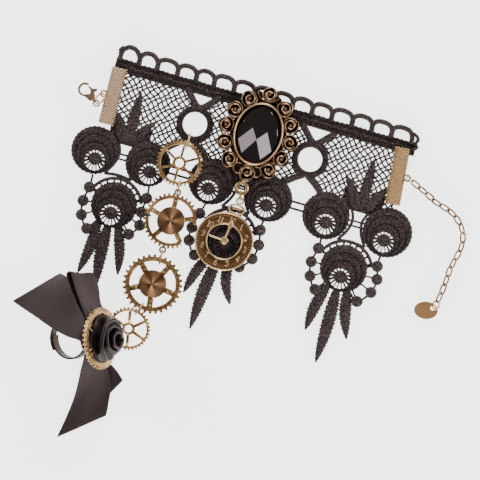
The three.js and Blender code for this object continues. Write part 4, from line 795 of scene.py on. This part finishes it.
# Petal walls of a cast rose: degrees, radii as shares of the rose's, and heights in millimetres.
CAST_PETALS = rows("start span near far middle half", [
    (30, 230, 0.36, 0.46, 2.45, 0.8), (170, 250, 0.58, 0.70, 2.3, 0.85), (95, 130, 0.84, 1.0, 2.05, 0.85),
    (212, 125, 0.83, 0.98, 2.15, 0.85), (330, 135, 0.84, 1.0, 2.05, 0.85),
])


def circle_path(x, y, radius, z, count=64, stretch=1.0):
    """Points round a level circle or oval."""
    return arc(x, y, radius, 0, 360 * (1 - 1 / count), count, z, stretch)


def toothed(gear, angles):
    """Outer radius of a gear: root, and flat-topped teeth from a clipped cosine."""
    rise = np.clip(0.5 + 1.5 * np.cos(angles * gear["teeth"]), 0, 1)
    return gear["root"] + (gear["tip"] - gear["root"]) * rise


def gear_parts(gear, broken=None, grooved=False):
    """A gear about the upright axis: toothed rim with a raised lip, spokes and hub."""
    angles = around(gear["teeth"] * 12)
    inner, outer = gear["rim"], toothed(gear, angles)
    if broken:
        count = int(gear["teeth"] * 12 * (broken["stop"] - broken["start"]) / 360)
        angles = np.radians(np.linspace(broken["start"], broken["stop"], count))
        plain = np.degrees(angles) < broken["plain_to"]
        outer = np.where(plain, gear["root"], toothed(gear, angles))
    parts = [rim(outer, inner, angles, 0, GEAR_THICK, 0.14, full=not broken)]
    lip = np.column_stack([np.cos(angles), np.sin(angles)])
    for radius in (inner + GEAR_LIP["inner"], gear["root"] - GEAR_LIP["outer"]):
        line = np.column_stack([lip * radius, np.full(len(angles), GEAR_THICK)])
        parts.append(sweep(line, GEAR_LIP["half_width"], GEAR_LIP["half_height"], 6, loop=not broken))
    reach = (gear["rim"] + gear["root"]) / 2
    for k in range(gear["spokes"]):
        a = math.radians(gear["first"] + k * 360 / gear["spokes"])
        ends = np.array([[r * math.cos(a), r * math.sin(a), 0] for r in (0.6 * gear["hub"], reach)])
        parts.append(beam(ends, eased(gear["spoke"], 0.1, GEAR_THICK - 0.1, 0.12)))
        if grooved:
            side = np.array([-math.sin(a), math.cos(a), 0]) * gear["spoke"] * GROOVE["share"]
            raised = eased(GROOVE["wide"], GEAR_THICK - GROOVE["low"], GEAR_THICK + GROOVE["high"], 0.05)
            parts += [beam(ends - side, raised), beam(ends + side, raised)]
    if gear["hole"]:
        parts.append(rim(gear["hub"], gear["hole"], around(48), 0, GEAR_THICK + 0.1, 0.2))
    else:
        hub = [(0, 0), (gear["hub"], 0), (gear["hub"], GEAR_THICK), (0, GEAR_THICK)]
        parts.append(lathe(hub, 48))
    return parts


def set_down(parts, gear, low):
    """A gear's parts moved to its place."""
    return [moved(part, (gear["x"], gear["y"], low)) for part in parts]


def tab(x, y, radius, hole):
    """A small ring on a gear's edge."""
    return moved(rim(radius, hole, around(28), 0, GEAR_THICK, 0.2), (x, y, 0))


def make_gears():
    """The row of gears, with their cones and rivets."""
    one, two, three, four, five = GEARS
    made = {"gear_1": set_down(gear_parts(one, grooved=True), one, UPPER_LOW)}
    tabs = [tab(-0.6, 12.9, 1.6, 0.75), tab(0, -13.2, 1.7, 0.8)]
    made["gear_2"] = set_down(gear_parts(two, BROKEN) + tabs, two, UPPER_LOW)
    parts = gear_parts(three)
    for k in range(three["spokes"]):
        a = math.radians(three["first"] + k * 360 / three["spokes"])
        parts.append(lathe(RIVET, 20, (RIVET_PLACE * math.cos(a), RIVET_PLACE * math.sin(a), GEAR_THICK)))
    made["gear_3"] = set_down(parts, three, LOWER_LOW)
    tilt = math.radians(GEAR_FOUR_TILT)
    basis = [[1, 0, 0], [0, math.cos(tilt), math.sin(tilt)], [0, -math.sin(tilt), math.cos(tilt)]]
    origin = (four["x"], four["y"], four["tip"] * math.sin(tilt) + 0.05)
    made["gear_4"] = [framed(part, basis, origin) for part in gear_parts(four, grooved=True)]
    centred = [moved(part, (0, 0, -GEAR_THICK / 2)) for part in gear_parts(five)]
    made["gear_5"] = [framed(part, BOW_BASIS, BOW_ORIGIN) for part in centred]
    for name, parts in made.items():
        add(f"brass_{name}", parts, ANTIQUE, "antique_brass", stands_for=[name])
    r, h = CONE["radius"], CONE["height"]
    profile = [(0, 0), (r, 0), (r, 0.35), (r - 0.2, 0.6), (r * 0.5, h * 0.52), (0.35, h - 0.15), (0, h)]
    for name, gear, low in (("cone_2", two, UPPER_LOW), ("cone_3", three, LOWER_LOW)):
        cone = lathe(profile, 72, (gear["x"], gear["y"], low + GEAR_THICK + 0.3))
        add(f"brass_{name}", [cone], DARK, "dark_brass", stands_for=[name])


def signed_power(v, power):
    """A power that keeps the sign; below one it squares an oval's corners."""
    return np.sign(v) * np.abs(v) ** power


def wire_oval(node, wire, square):
    """A wire loop in the place of a CAD one: a superellipse on the node's own axes, less the wire."""
    points = np.array([v.co[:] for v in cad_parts[node].data.vertices]) / MM
    middle = points.mean(0)
    _, _, axes = np.linalg.svd(points - middle, full_matrices=False)
    reach = np.abs((points - middle) @ axes.T).max(0) - wire
    a = around(40)
    first = np.outer(signed_power(np.cos(a), square) * reach[0], axes[0])
    second = np.outer(signed_power(np.sin(a), square) * reach[1], axes[1])
    return sweep(middle + first + second, wire, wire, 10, loop=True, up=axes[2])


WIRES = rows("names wire square material slot", [
    ([f"link_{k:02d}" for k in range(1, 17)], 0.42, 0.8, CHAIN, "golden_brass"),
    (["tag_ring", "clasp_ring"], 0.42, 1.0, GOLDEN, "golden_brass"),
    (["gear_hanger", "join_ring_1", "join_ring_2", "join_ring_3"], 0.44, 0.6, GOLDEN, "golden_brass"),
    (["thread_loop"], 0.42, 0.6, THREAD, "thread"),
    (["drop_ring"], 0.82, 1.0, ANTIQUE, "antique_brass"),
    (["drop_link"], 0.52, 1.0, ANTIQUE, "antique_brass"),
])


def make_wires():
    """Chain links, jump rings and the thread loop."""
    for row in WIRES:
        for name in row["names"]:
            part = wire_oval(name, row["wire"], row["square"])
            add(f"wire_{name}", [part], row["material"], row["slot"], stands_for=[name])


def figures(top):
    """Numbers 1 to 12, upright on the dial: small raised strokes."""
    parts = []
    size = FIGURE["height"]
    for hour in range(1, 13):
        a = math.radians(90 - 30 * hour)
        y = FIGURE["radius"] * math.sin(a)
        digits = str(hour)
        for k, digit in enumerate(digits):
            x = FIGURE["radius"] * math.cos(a) + (k - (len(digits) - 1) / 2) * 0.52 * size
            for stroke in STROKES[digit]:
                line = smooth_path([(x + px * size, y + py * size, top + 0.05) for px, py in stroke], 0.16)
                parts.append(sweep(line, FIGURE["stroke"], 0.3, 6))
    return parts


def hands(top):
    """Both hands: widths along them swell and narrow as a leaf and as a wedge."""
    t = np.linspace(0, 1, 40)
    swell = 0.62 * np.exp(-(((t - 0.72) / 0.13) ** 2))
    leaf_width = 0.42 + swell - 0.5 * np.clip(t - 0.86, 0, 1) / 0.14 * 0.7
    long_hand = np.column_stack([0.1 * t, 0.4 + 9.8 * t, np.full(40, top + 0.25)])
    short_hand = np.column_stack([-7.2 * t, 0.4 - 0.2 * t, np.full(40, top + 0.2)])
    return [
        sweep(long_hand, np.maximum(leaf_width, 0.1), 0.3, 8),
        sweep(short_hand, 0.36 + 0.1 * t, 0.28, 8),
    ]


def bow_and_eye(wire):
    """The charm's two wire rings over the dial, and the cords that join them."""
    return [
        sweep(circle_path(0, -34.1, 3.4, wire, 64, 0.58), 0.5, 0.5, 10, loop=True),
        sweep(circle_path(0.4, -30.0, 1.4, wire, 40), 0.42, 0.42, 10, loop=True),
        rope([(0.2, -31.2), (0.1, -32.4)], 0.7, z=wire, ripple=0),
        rope([(-1.9, -34.2), (0, -33.8), (1.9, -34.2)], 0.45, z=wire - 0.1, ripple=0),
    ]


def make_clock():
    """Clock charm: ring dial with lips, ticks, figures, hub, two hands, bow and eye."""
    low, top = CLOCK["low"], CLOCK["low"] + CLOCK["plate"]
    outer, inner, lip_in = DIAL_RING["outer"], DIAL_RING["inner"], DIAL_RING["lip_in"]
    angles = around(180)
    parts = [rim(outer, inner, angles, low, top, 0.15)]
    for radius in (outer - lip_in, inner + lip_in):
        lip = circle_path(0, 0, radius, top, 120)
        parts.append(sweep(lip, DIAL_RING["lip_wide"], DIAL_RING["lip_high"], 10, loop=True))
    parts.append(rim(12.2, 11.15, angles, top - 0.05, top + 0.14, 0.05))
    parts += figures(top)
    hub = [(0, top - 0.3), (1.75, top - 0.3), (1.75, top + 0.4), (1.4, top + 0.65), (0, top + 0.7)]
    parts.append(lathe(hub, 36, (0, 0.4, 0)))
    parts += hands(top)
    place = (CLOCK["x"], CLOCK["y"], 0)
    charm = [moved(part, place, CLOCK["turn"]) for part in parts]
    add("dial", charm + bow_and_eye(top - 0.1), DIAL, "cast_brass", stands_for=["clock"])
    ticks = []
    for a in around(TICKS["count"]):
        ends = [[r * math.cos(a), r * math.sin(a), top] for r in (TICKS["near"], TICKS["far"])]
        tick = beam(ends, eased(TICKS["wide"], 0, TICKS["high"], 0.03))
        ticks.append(moved(tick, place, CLOCK["turn"]))
    add("dial_ticks", ticks, DARK, "dark_brass")


# A cast rose's cup: radius as a share of the rose's, and height.
CUP = [(0, 0), (0.9, 0), (0.98, 1.0), (0.9, 1.9), (0.4, 1.6), (0.24, 2.4), (0.1, 2.9), (0, 2.75)]


def cast_rose(x, y, r, low, turn):
    """A cast rose: a cup with a bud, low and so painted dark by the cast metal's painted shade, and petal
    walls, each an arc whose radius grows along it.
    """
    cup = [(share * r, height) for share, height in CUP]
    parts = [lathe(cup, 40, (x, y, low), swell=0.03, lobes=5)]
    t = np.linspace(-1, 1, 30)
    for row in CAST_PETALS:
        a = np.radians(row["start"] + turn + row["span"] * (t + 1) / 2)
        radius = r * (row["near"] + (row["far"] - row["near"]) * (t + 1) / 2)
        level = np.full(len(t), low + row["middle"])
        wall = np.column_stack([x + radius * np.cos(a), y + radius * np.sin(a), level])
        parts.append(sweep(wall, 0.31 * (1 - 0.7 * t**8), row["half"] * (1 - 0.45 * t**6), 10))
    return parts


def cameo_rim(low, stretch):
    """The twisted rim round the stone, the wall under it and the eye for the drop."""
    count, y = 160, STONE["y"]
    path = circle_path(0, y, CAMEO["rim_x"] + 0.35, low + 2.6, count, stretch)
    twist = 1 + 0.12 * np.cos(around(count) * CAMEO["twists"])
    wall = circle_path(0, y, CAMEO["rim_x"] + 0.2, low + 1.3, 96, stretch)
    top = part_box("drop_ring")[1].y / MM - 0.6
    eye = [[-0.5, top + 1.3 * math.cos(a), 3.1 + 1.3 * math.sin(a)] for a in around(24)]
    return [
        sweep(path, 0.45 * twist, 0.75 * twist, 10, loop=True),
        beam(wall, eased(0.7, 0, 1.3, 0.1), loop=True),
        sweep(eye, 0.38, 0.38, 8, loop=True, up=(1, 0, 0)),
    ]


def make_cameo():
    """Cameo: cast roses and petals on a web, and a twisted rim round the stone."""
    low = CAMEO["low"]
    stretch = CAMEO["rim_y"] / CAMEO["rim_x"]
    wide = CAMEO["rim_x"] + CAMEO["web"]
    web = [(0, 0), (wide, 0), (wide, 0.9), (wide - 0.6, 1.3), (0, 1.3)]
    parts = [lathe(web, 96, (0, STONE["y"], low), stretch=stretch * 0.97)]
    for k, row in enumerate(FLOWERS):
        parts += cast_rose(row["x"], row["y"], row["r"] + 0.2, low, turn=47.0 * k)
    for row in PETALS:
        r = row["r"]
        petal = [(0, 0), (r, 0), (r, 0.9), (r * 0.8, 1.6), (r * 0.5, 1.1), (0, 1.4)]
        parts.append(lathe(petal, 28, (row["x"], row["y"], low), swell=0.1, lobes=3))
    for row in LIPS:
        stop = row["start"] + row["span"]
        lip = arc(row["x"], row["y"], row["r"], row["start"], stop, 26, low + 2.0, row["flat"])
        parts.append(sweep(lip, 0.34 * (1 - 0.6 * np.linspace(-1, 1, 26) ** 8), 0.8, 10))
    add("cameo", parts + cameo_rim(low, stretch), CAST, "cast_brass", stands_for=["cameo_frame"])


STONE = {"low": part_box("stone")[0].z / MM, "girdle": 0.9, "half_width": 9.05, "half_height": 12.15, "y": 0.3}
GIRDLE_POINTS = 64
# Corners of the cut stone's facets, and their rise over the girdle.
CORNERS = rows("name x y rise", [
    ("heart", -0.1, -2.6, 2.0), ("left", -3.0, 2.0, 2.4), ("right", 3.6, 1.8, 2.45), ("crown", 0.4, 6.8, 2.2),
    ("east_high", 7.3, 4.4, 1.25), ("north_east", 3.9, 9.5, 0.95), ("north_west", -3.6, 9.7, 0.95),
    ("west_high", -7.4, 4.6, 1.2), ("west_low", -8.0, -4.4, 0.97), ("south_west", -4.8, -9.9, 0.47),
    ("south_east", 3.9, -10.5, 0.34), ("east_low", 7.6, -5.8, 0.84),
])
# Inner facets, anticlockwise by their corners' names.
KITES = [
    ("heart", "right", "left"), ("left", "right", "crown"), ("left", "west_low", "south_west", "heart"),
    ("heart", "south_east", "east_low", "right"), ("right", "east_high", "north_east", "crown"),
    ("crown", "north_west", "west_high", "left"),
]
# Facets between two outer corners and the outline, with the inner corner that they also meet.
BORDERS = [
    ("east_high", "north_east", ""), ("north_east", "north_west", "crown"), ("north_west", "west_high", ""),
    ("west_high", "west_low", "left"), ("west_low", "south_west", ""), ("south_west", "south_east", "heart"),
    ("south_east", "east_low", ""), ("east_low", "east_high", "right"),
]


def border_facets(first, last, inner, at):
    """Triangles from two corners to the girdle's points between them, and over both from the inner one."""
    count = GIRDLE_POINTS
    ends = []
    for name in (first, last):
        angle = math.atan2(at[name][1] / STONE["half_height"], at[name][0] / STONE["half_width"])
        ends.append(int(round(angle % TAU / TAU * count)))
    a, b = ends
    b = b if b > a else b + count
    middle = (a + b) // 2
    start = len(CORNERS)
    fans = []
    for corner, low, high in ((first, a, middle), (last, middle, b)):
        step = np.arange(low, high)
        own = np.full(len(step), at[corner][3])
        fans.append(np.column_stack([own, start + step % count, start + (step + 1) % count]))
    meet = start + middle % count
    near, far = at[first][3], at[last][3]
    over = at[inner][3] if inner else None
    fans.append(np.array([[over, near, meet], [over, meet, far]] if inner else [[near, meet, far]]))
    return np.concatenate(fans).astype(int)


def cut_stone():
    """Cut stone: kites round a small heart, border facets down to an oval girdle, and a flat back."""
    seat, count = STONE["low"] + STONE["girdle"], GIRDLE_POINTS
    angle = around(count)
    outline = np.column_stack([STONE["half_width"] * np.cos(angle), STONE["half_height"] * np.sin(angle)])
    at = {row["name"]: (row["x"], row["y"], row["rise"], k) for k, row in enumerate(CORNERS)}
    corners = np.array([[row["x"], row["y"], seat + row["rise"]] for row in CORNERS])
    rings = [np.column_stack([outline, np.full(count, z)]) for z in (seat, STONE["low"])]
    points = np.concatenate([corners, *rings, [[0, 0, STONE["low"]]]]) + [0, STONE["y"], 0]
    faces = []
    for kite in KITES:
        marks = [at[name][3] for name in kite]
        faces.append([marks + marks[-1:] if len(marks) == 3 else marks])
    for first, last, inner in BORDERS:
        fan = border_facets(first, last, inner, at)
        faces.append(np.column_stack([fan, fan[:, 2]]))
    top, step = len(CORNERS), np.arange(count)
    after = (step + 1) % count
    faces.append(np.column_stack([top + step, top + count + step, top + count + after, top + after]))
    back = np.full(count, top + 2 * count)
    faces.append(np.column_stack([top + count + after, top + count + step, back, back]))
    return points, np.concatenate([np.asarray(f) for f in faces])


def make_stone():
    """The black cut stone."""
    add("cut_stone", [cut_stone()], JET, "jet", stands_for=["stone"], smooth=False)


# Ribbon clamps: middles in millimetres and turns in degrees.
CLAMPS = rows("node x y turn flip material slot", [
    ("clamp_left", -66.2, -1.1, 1.6, 0.0, KNURLED, "pale_brass"),
    ("clamp_right", 64.1, -0.5, 5.5, 180.0, KNURLED_GOLD, "golden_brass"),
])
CLAMP = {"length": 25.4, "depth": 6.4, "thick": 0.5, "high": 2.5, "tooth": 0.7, "pitch": 1.05, "knurl": 0.17,
         "cell": 1.3, "eye": 1.3, "eye_level": 2.12, "step": 0.17, "across": 34, "fold": 7}


def clamp_form():
    """A plate folded along its far edge, knurled in diamonds outside and toothed at its open edges."""
    v = np.arange(-CLAMP["length"] / 2, CLAMP["length"] / 2, CLAMP["step"])
    half, high, thick = CLAMP["depth"] / 2, CLAMP["high"], CLAMP["thick"]
    flat, fold = CLAMP["across"], CLAMP["fold"]
    tooth = CLAMP["tooth"] * np.clip(0.5 + np.cos(v / CLAMP["pitch"] * TAU), 0, 1)
    across = np.linspace(-half + 1.0, half, flat)
    turn = np.radians(np.linspace(100, 260, fold))
    back = np.column_stack([-half + 1.0 + high / 2 * 0.8 * np.cos(turn), high / 2 + high / 2 * np.sin(turn)])
    upper = np.column_stack([across[::-1], np.full(flat, high)])
    under = np.column_stack([across, np.zeros(flat)])
    skin = np.concatenate([upper, back, under])
    inner = (skin - [0, high / 2]) * [1, (high / 2 - thick) / (high / 2)] + [0, high / 2]
    inner[flat:flat + fold, 0] += thick * 0.8
    section = np.concatenate([skin, inner[::-1]])
    u = section[:, 0] + tooth[:, None] * np.clip((section[:, 0] - half + 0.9) / 0.9, 0, 1)
    cell = CLAMP["cell"]
    wave = np.cos((u + v[:, None]) / cell * TAU) + np.cos((u - v[:, None]) / cell * TAU)
    top = np.arange(len(section)) < flat
    z = section[:, 1] + np.where(top, CLAMP["knurl"] * wave * 0.5, 0)
    points = np.stack([u, np.broadcast_to(v[:, None], u.shape), z], -1)
    faces = grid_faces(len(v), len(section))[:, ::-1]
    n = len(skin)
    j = np.arange(n - 1)
    first = np.stack([j, j + 1, 2 * n - 2 - j, 2 * n - 1 - j], -1)
    last = first[:, ::-1] + (len(v) - 1) * len(section)
    return points.reshape(-1, 3), np.concatenate([faces, first, last])


def make_clamps():
    """Both ribbon clamps, with their eyes."""
    for row in CLAMPS:
        outward = 1 if row["flip"] else -1
        reach = outward * (CLAMP["depth"] / 2 + 0.55 * CLAMP["eye"])
        a = math.radians(row["turn"])
        x, y = row["x"] + reach * math.cos(a), row["y"] + reach * math.sin(a)
        eye = circle_path(x, y, CLAMP["eye"], CLAMP["eye_level"], 28)
        parts = [moved(clamp_form(), (row["x"], row["y"], 0), row["turn"] + row["flip"])]
        parts.append(sweep(eye, 0.38, 0.38, 8, loop=True))
        add(f"ribbon_{row['node']}", parts, row["material"], row["slot"], stands_for=[row["node"]])


# Metals of the nodes that keep their CAD shape.
KEPT = {
    "clasp_body": GOLDEN, "clasp_lever": GOLDEN, "chain_ring": GOLDEN, "chain_tag": TAG,
    "finger_ring": BRONZE,
}


def dress_kept_nodes():
    """Gives the kept nodes their metals."""
    for name, material in KEPT.items():
        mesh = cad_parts[name].data
        mesh.materials.clear()
        mesh.materials.append(material)


# Satin sheets.


def slab(points, wall):
    """A closed sheet on a grid of middle points: each side lies half the wall along the normal."""
    du, dv = np.gradient(points, axis=0), np.gradient(points, axis=1)
    normal = unit(np.cross(du, dv))
    n, m = points.shape[:2]
    top, under = points + normal * wall / 2, points - normal * wall / 2
    sheet = grid_faces(n, m, round_cols=False)
    first, last = np.arange(n * m).reshape(n, m), np.arange(n * m, 2 * n * m).reshape(n, m)
    edge = []
    for line, back in ((np.s_[0, :], 1), (np.s_[-1, :], -1), (np.s_[:, 0], -1), (np.s_[:, -1], 1)):
        a, b = first[line], last[line]
        strip = np.stack([a[:-1], a[1:], b[1:], b[:-1]], -1)
        edge.append(strip[:, ::back])
    faces = np.concatenate([sheet[:, ::-1], sheet + n * m, *edge])
    return np.concatenate([top.reshape(-1, 3), under.reshape(-1, 3)]), faces


def station_lines(name):
    """Both edges of a ribbon as smooth lines with the same number of points."""
    table = np.array(EDGES[name]) * RIBBON["width"]
    count = RIBBON["points_between"] * (len(table) - 1) + 1
    lines = []
    for part in (table[:, :3], table[:, 3:]):
        line = smooth_path(part, RIBBON["step"])
        at = np.linspace(0, len(line) - 1, count)
        lines.append(np.column_stack([np.interp(at, np.arange(len(line)), line[:, k]) for k in range(3)]))
    return lines


def ribbon(name):
    """A strip between its two edges; its creases are cosines across it that fade along it."""
    a, b = station_lines(name)
    v = np.linspace(0, 1, RIBBON["points_across"])[None, :, None]
    points = a[:, None] * (1 - v) + b[:, None] * v
    normal = unit(np.cross(np.gradient(points, axis=0), np.gradient(points, axis=1)))
    u = np.linspace(0, 1, len(a))[:, None]
    lift = 0
    for row in CREASES[name]:
        fade = np.exp(-(((u - row["at"]) / row["reach"]) ** 2))
        angle = row["waves"] * math.pi * v[..., 0] + row["phase"] + row["skew"] * u
        lift = lift + row["depth"] * fade * np.cos(angle)
    return slab(points + normal * lift[..., None] + np.asarray(BOW_ORIGIN), RIBBON["wall"])


# Creases of each ribbon: place and reach as shares of its length, depth in mm, half waves across.
CREASES = {name: rows("at depth reach waves phase skew", lines) for name, lines in {
    "bow_loop": [(0.08, 0.5, 0.12, 5, 0.3, 3), (0.92, 0.5, 0.12, 5, 1.3, 3), (0.5, 0.25, 0.3, 2, 0.9, 5)],
    "ribbon_tail_left": [(0.12, 0.5, 0.14, 5, 0.2, 2), (0.55, 0.35, 0.3, 2.2, 0.5, 4)],
    "ribbon_tail_lower": [(0.2, 0.7, 0.16, 4.4, 0.6, 2), (0.6, 0.5, 0.35, 2.2, 1.2, 3)],
    "ribbon_tail_right": [(0.3, 0.3, 0.3, 3, 0.4, 2)],
}.items()}


def rose_roll():
    """A rolled strip: its radius grows with the turn and swells in petals, and its lip curls outwards."""
    u = np.linspace(0, 1, ROSE["points_round"])[:, None]
    v = np.linspace(0, 1, ROSE["points_up"])[None, :]
    a = u * ROSE["turns"] * TAU
    fold = ROSE_FOLD["start"]
    wall = np.minimum(v / fold, 1)
    curl = np.radians(ROSE_FOLD["turn"]) * np.clip((v - fold) / (1 - fold), 0, 1)
    lip = ROSE_FOLD["radius"] * (0.5 + 0.5 * u)
    petals = 0.75 * np.sin(a * 1.55) * u + 0.16 * np.sin(a * 6.3 + 2 * v) * wall
    radius = 0.9 + (ROSE["radius"] - 4.4) * u**0.85 + (0.4 + 1.8 * u) * wall**1.5 + petals * wall
    radius = radius + lip * (1 - np.cos(curl))
    height = ROSE["depth"] * (0.94 - 0.5 * u**1.2) * wall + 0.8 * np.sin(a * 1.3 + 0.5) * wall * u
    base = GEAR_THICK / 2 + 0.35
    points = np.stack([radius * np.cos(a), radius * np.sin(a), base + height + lip * np.sin(curl)], -1)
    return slab(points, ROSE["wall"])


def rose_base():
    """The outermost petal, spread on the gear: height grows with the radius squared and waves round it."""
    outer = ROSE_BASE["outer"]
    a = np.linspace(0, TAU, 121)[:, None]
    r = np.linspace(ROSE_BASE["inner"], outer, 18)[None, :]
    wave = 0.5 + 0.5 * np.sin(a * ROSE_BASE["waves"] + 0.7)
    height = GEAR_THICK / 2 + 0.4 + (0.4 + 1.1 * wave) * (r / outer) ** 2
    return slab(np.stack([r * np.cos(a), r * np.sin(a), height], -1), ROSE["wall"])


# Each cut's width and length in metres, and the area of the cut as a share where its end is slanted.
CUTS = rows("node width length share rests_on", [
    ("bow_loop", 0.022, 0.056, 1.0, "gear_5"), ("ribbon_tail_left", 0.022, 0.042, 0.9, "finger_ring"),
    ("ribbon_tail_lower", 0.022, 0.046, 0.8, "gear_5"), ("ribbon_tail_right", 0.011, 0.021, 0.9, "gear_5"),
])


def make_satin():
    """The ribbons and the rose, each a thin closed sheet; the cut sizes are read but not used."""
    for cut in CUTS:
        name, flat = cut["node"], (cut["width"], cut["length"])
        made = add(f"satin_{name}", [ribbon(name)], SATIN, "satin", stands_for=[name])
    parts = [framed(part, BOW_BASIS, BOW_ORIGIN) for part in (rose_roll(), rose_base())]
    # The rolled rose takes the darker satin copy, painted shade.
    made = add("satin_rolled_rose", parts, SHADED_ROSE_SATIN, "satin", stands_for=["satin_rose"])


make_gears()
make_wires()
make_clock()
make_cameo()
make_stone()
make_clamps()
make_satin()
dress_kept_nodes()


# Floor, light and camera. Lamps are placed in metres; their power is in watts.

# The view's middle and width and the camera's height in millimetres, and its roll in degrees.
VIEW = {"x": 5.1, "y": -46.5, "width": 211.2, "height": 900.0, "roll": 16.0, "sensor": 36.0, "far": 10}
FLOOR = {"size": 3, "low": -0.0006, "glow": 2.8, "color": (0.93, 0.93, 0.93)}
SKY_STRENGTH = 0.16
NEUTRAL, ROSY = (1.0, 1.0, 1.0), (1.0, 0.84, 0.86)
LAMPS = rows("name x y z size power tint", [
    ("soft_west", -1.6, 0.4, 0.45, 1.0, 24.0, NEUTRAL),
    ("soft_east", 1.6, 0.4, 0.45, 1.0, 28.0, NEUTRAL),
    ("soft_north", 0.0, 1.7, 0.42, 1.0, 34.0, NEUTRAL),
    ("soft_south", 0.2, -1.7, 0.3, 1.0, 52.0, NEUTRAL),
    ("window_left", -0.33, -0.38, 1.41, 0.28, 1.15, ROSY),
    ("window_right", 0.29, -0.43, 1.41, 0.26, 1.5, ROSY),
])


def make_floor():
    """A pale floor that glows a little, and a white sky."""
    bpy.ops.mesh.primitive_plane_add(size=FLOOR["size"], location=(0, 0, FLOOR["low"]))
    floor = bpy.context.object
    floor.name = "floor"
    paper, shader = shade("white_paper", FLOOR["color"], 0.9)
    shader.inputs["Emission Color"].default_value = (*NEUTRAL, 1)
    shader.inputs["Emission Strength"].default_value = FLOOR["glow"]
    floor.data.materials.append(paper)
    world = bpy.data.worlds.new("studio_sky")
    world.use_nodes = True
    sky = world.node_tree.nodes["Background"]
    sky.inputs["Color"].default_value = (*NEUTRAL, 1)
    sky.inputs["Strength"].default_value = SKY_STRENGTH
    bpy.context.scene.world = world


def make_lamps():
    """Soft square lamps that look at the origin."""
    for row in LAMPS:
        data = bpy.data.lights.new(row["name"], "AREA")
        data.energy = row["power"]
        data.size = row["size"]
        data.color = row["tint"]
        lamp = bpy.data.objects.new(row["name"], data)
        bpy.context.scene.collection.objects.link(lamp)
        lamp.location = (row["x"], row["y"], row["z"])
        lamp.rotation_euler = lamp.location.to_track_quat("Z", "Y").to_euler()


def make_camera():
    """The camera straight above, turned as the photograph is; lens = sensor x height / width of the view."""
    data = bpy.data.cameras.new("camera")
    data.type = "PERSP"
    data.sensor_width = VIEW["sensor"]
    data.lens = VIEW["sensor"] * VIEW["height"] / VIEW["width"]
    data.clip_end = VIEW["far"]
    camera = bpy.data.objects.new("camera", data)
    bpy.context.scene.collection.objects.link(camera)
    camera.location = (VIEW["x"] * MM, VIEW["y"] * MM, VIEW["height"] * MM)
    camera.rotation_euler = (0, 0, math.radians(VIEW["roll"]))
    bpy.context.scene.camera = camera


make_floor()
make_lamps()
make_camera()
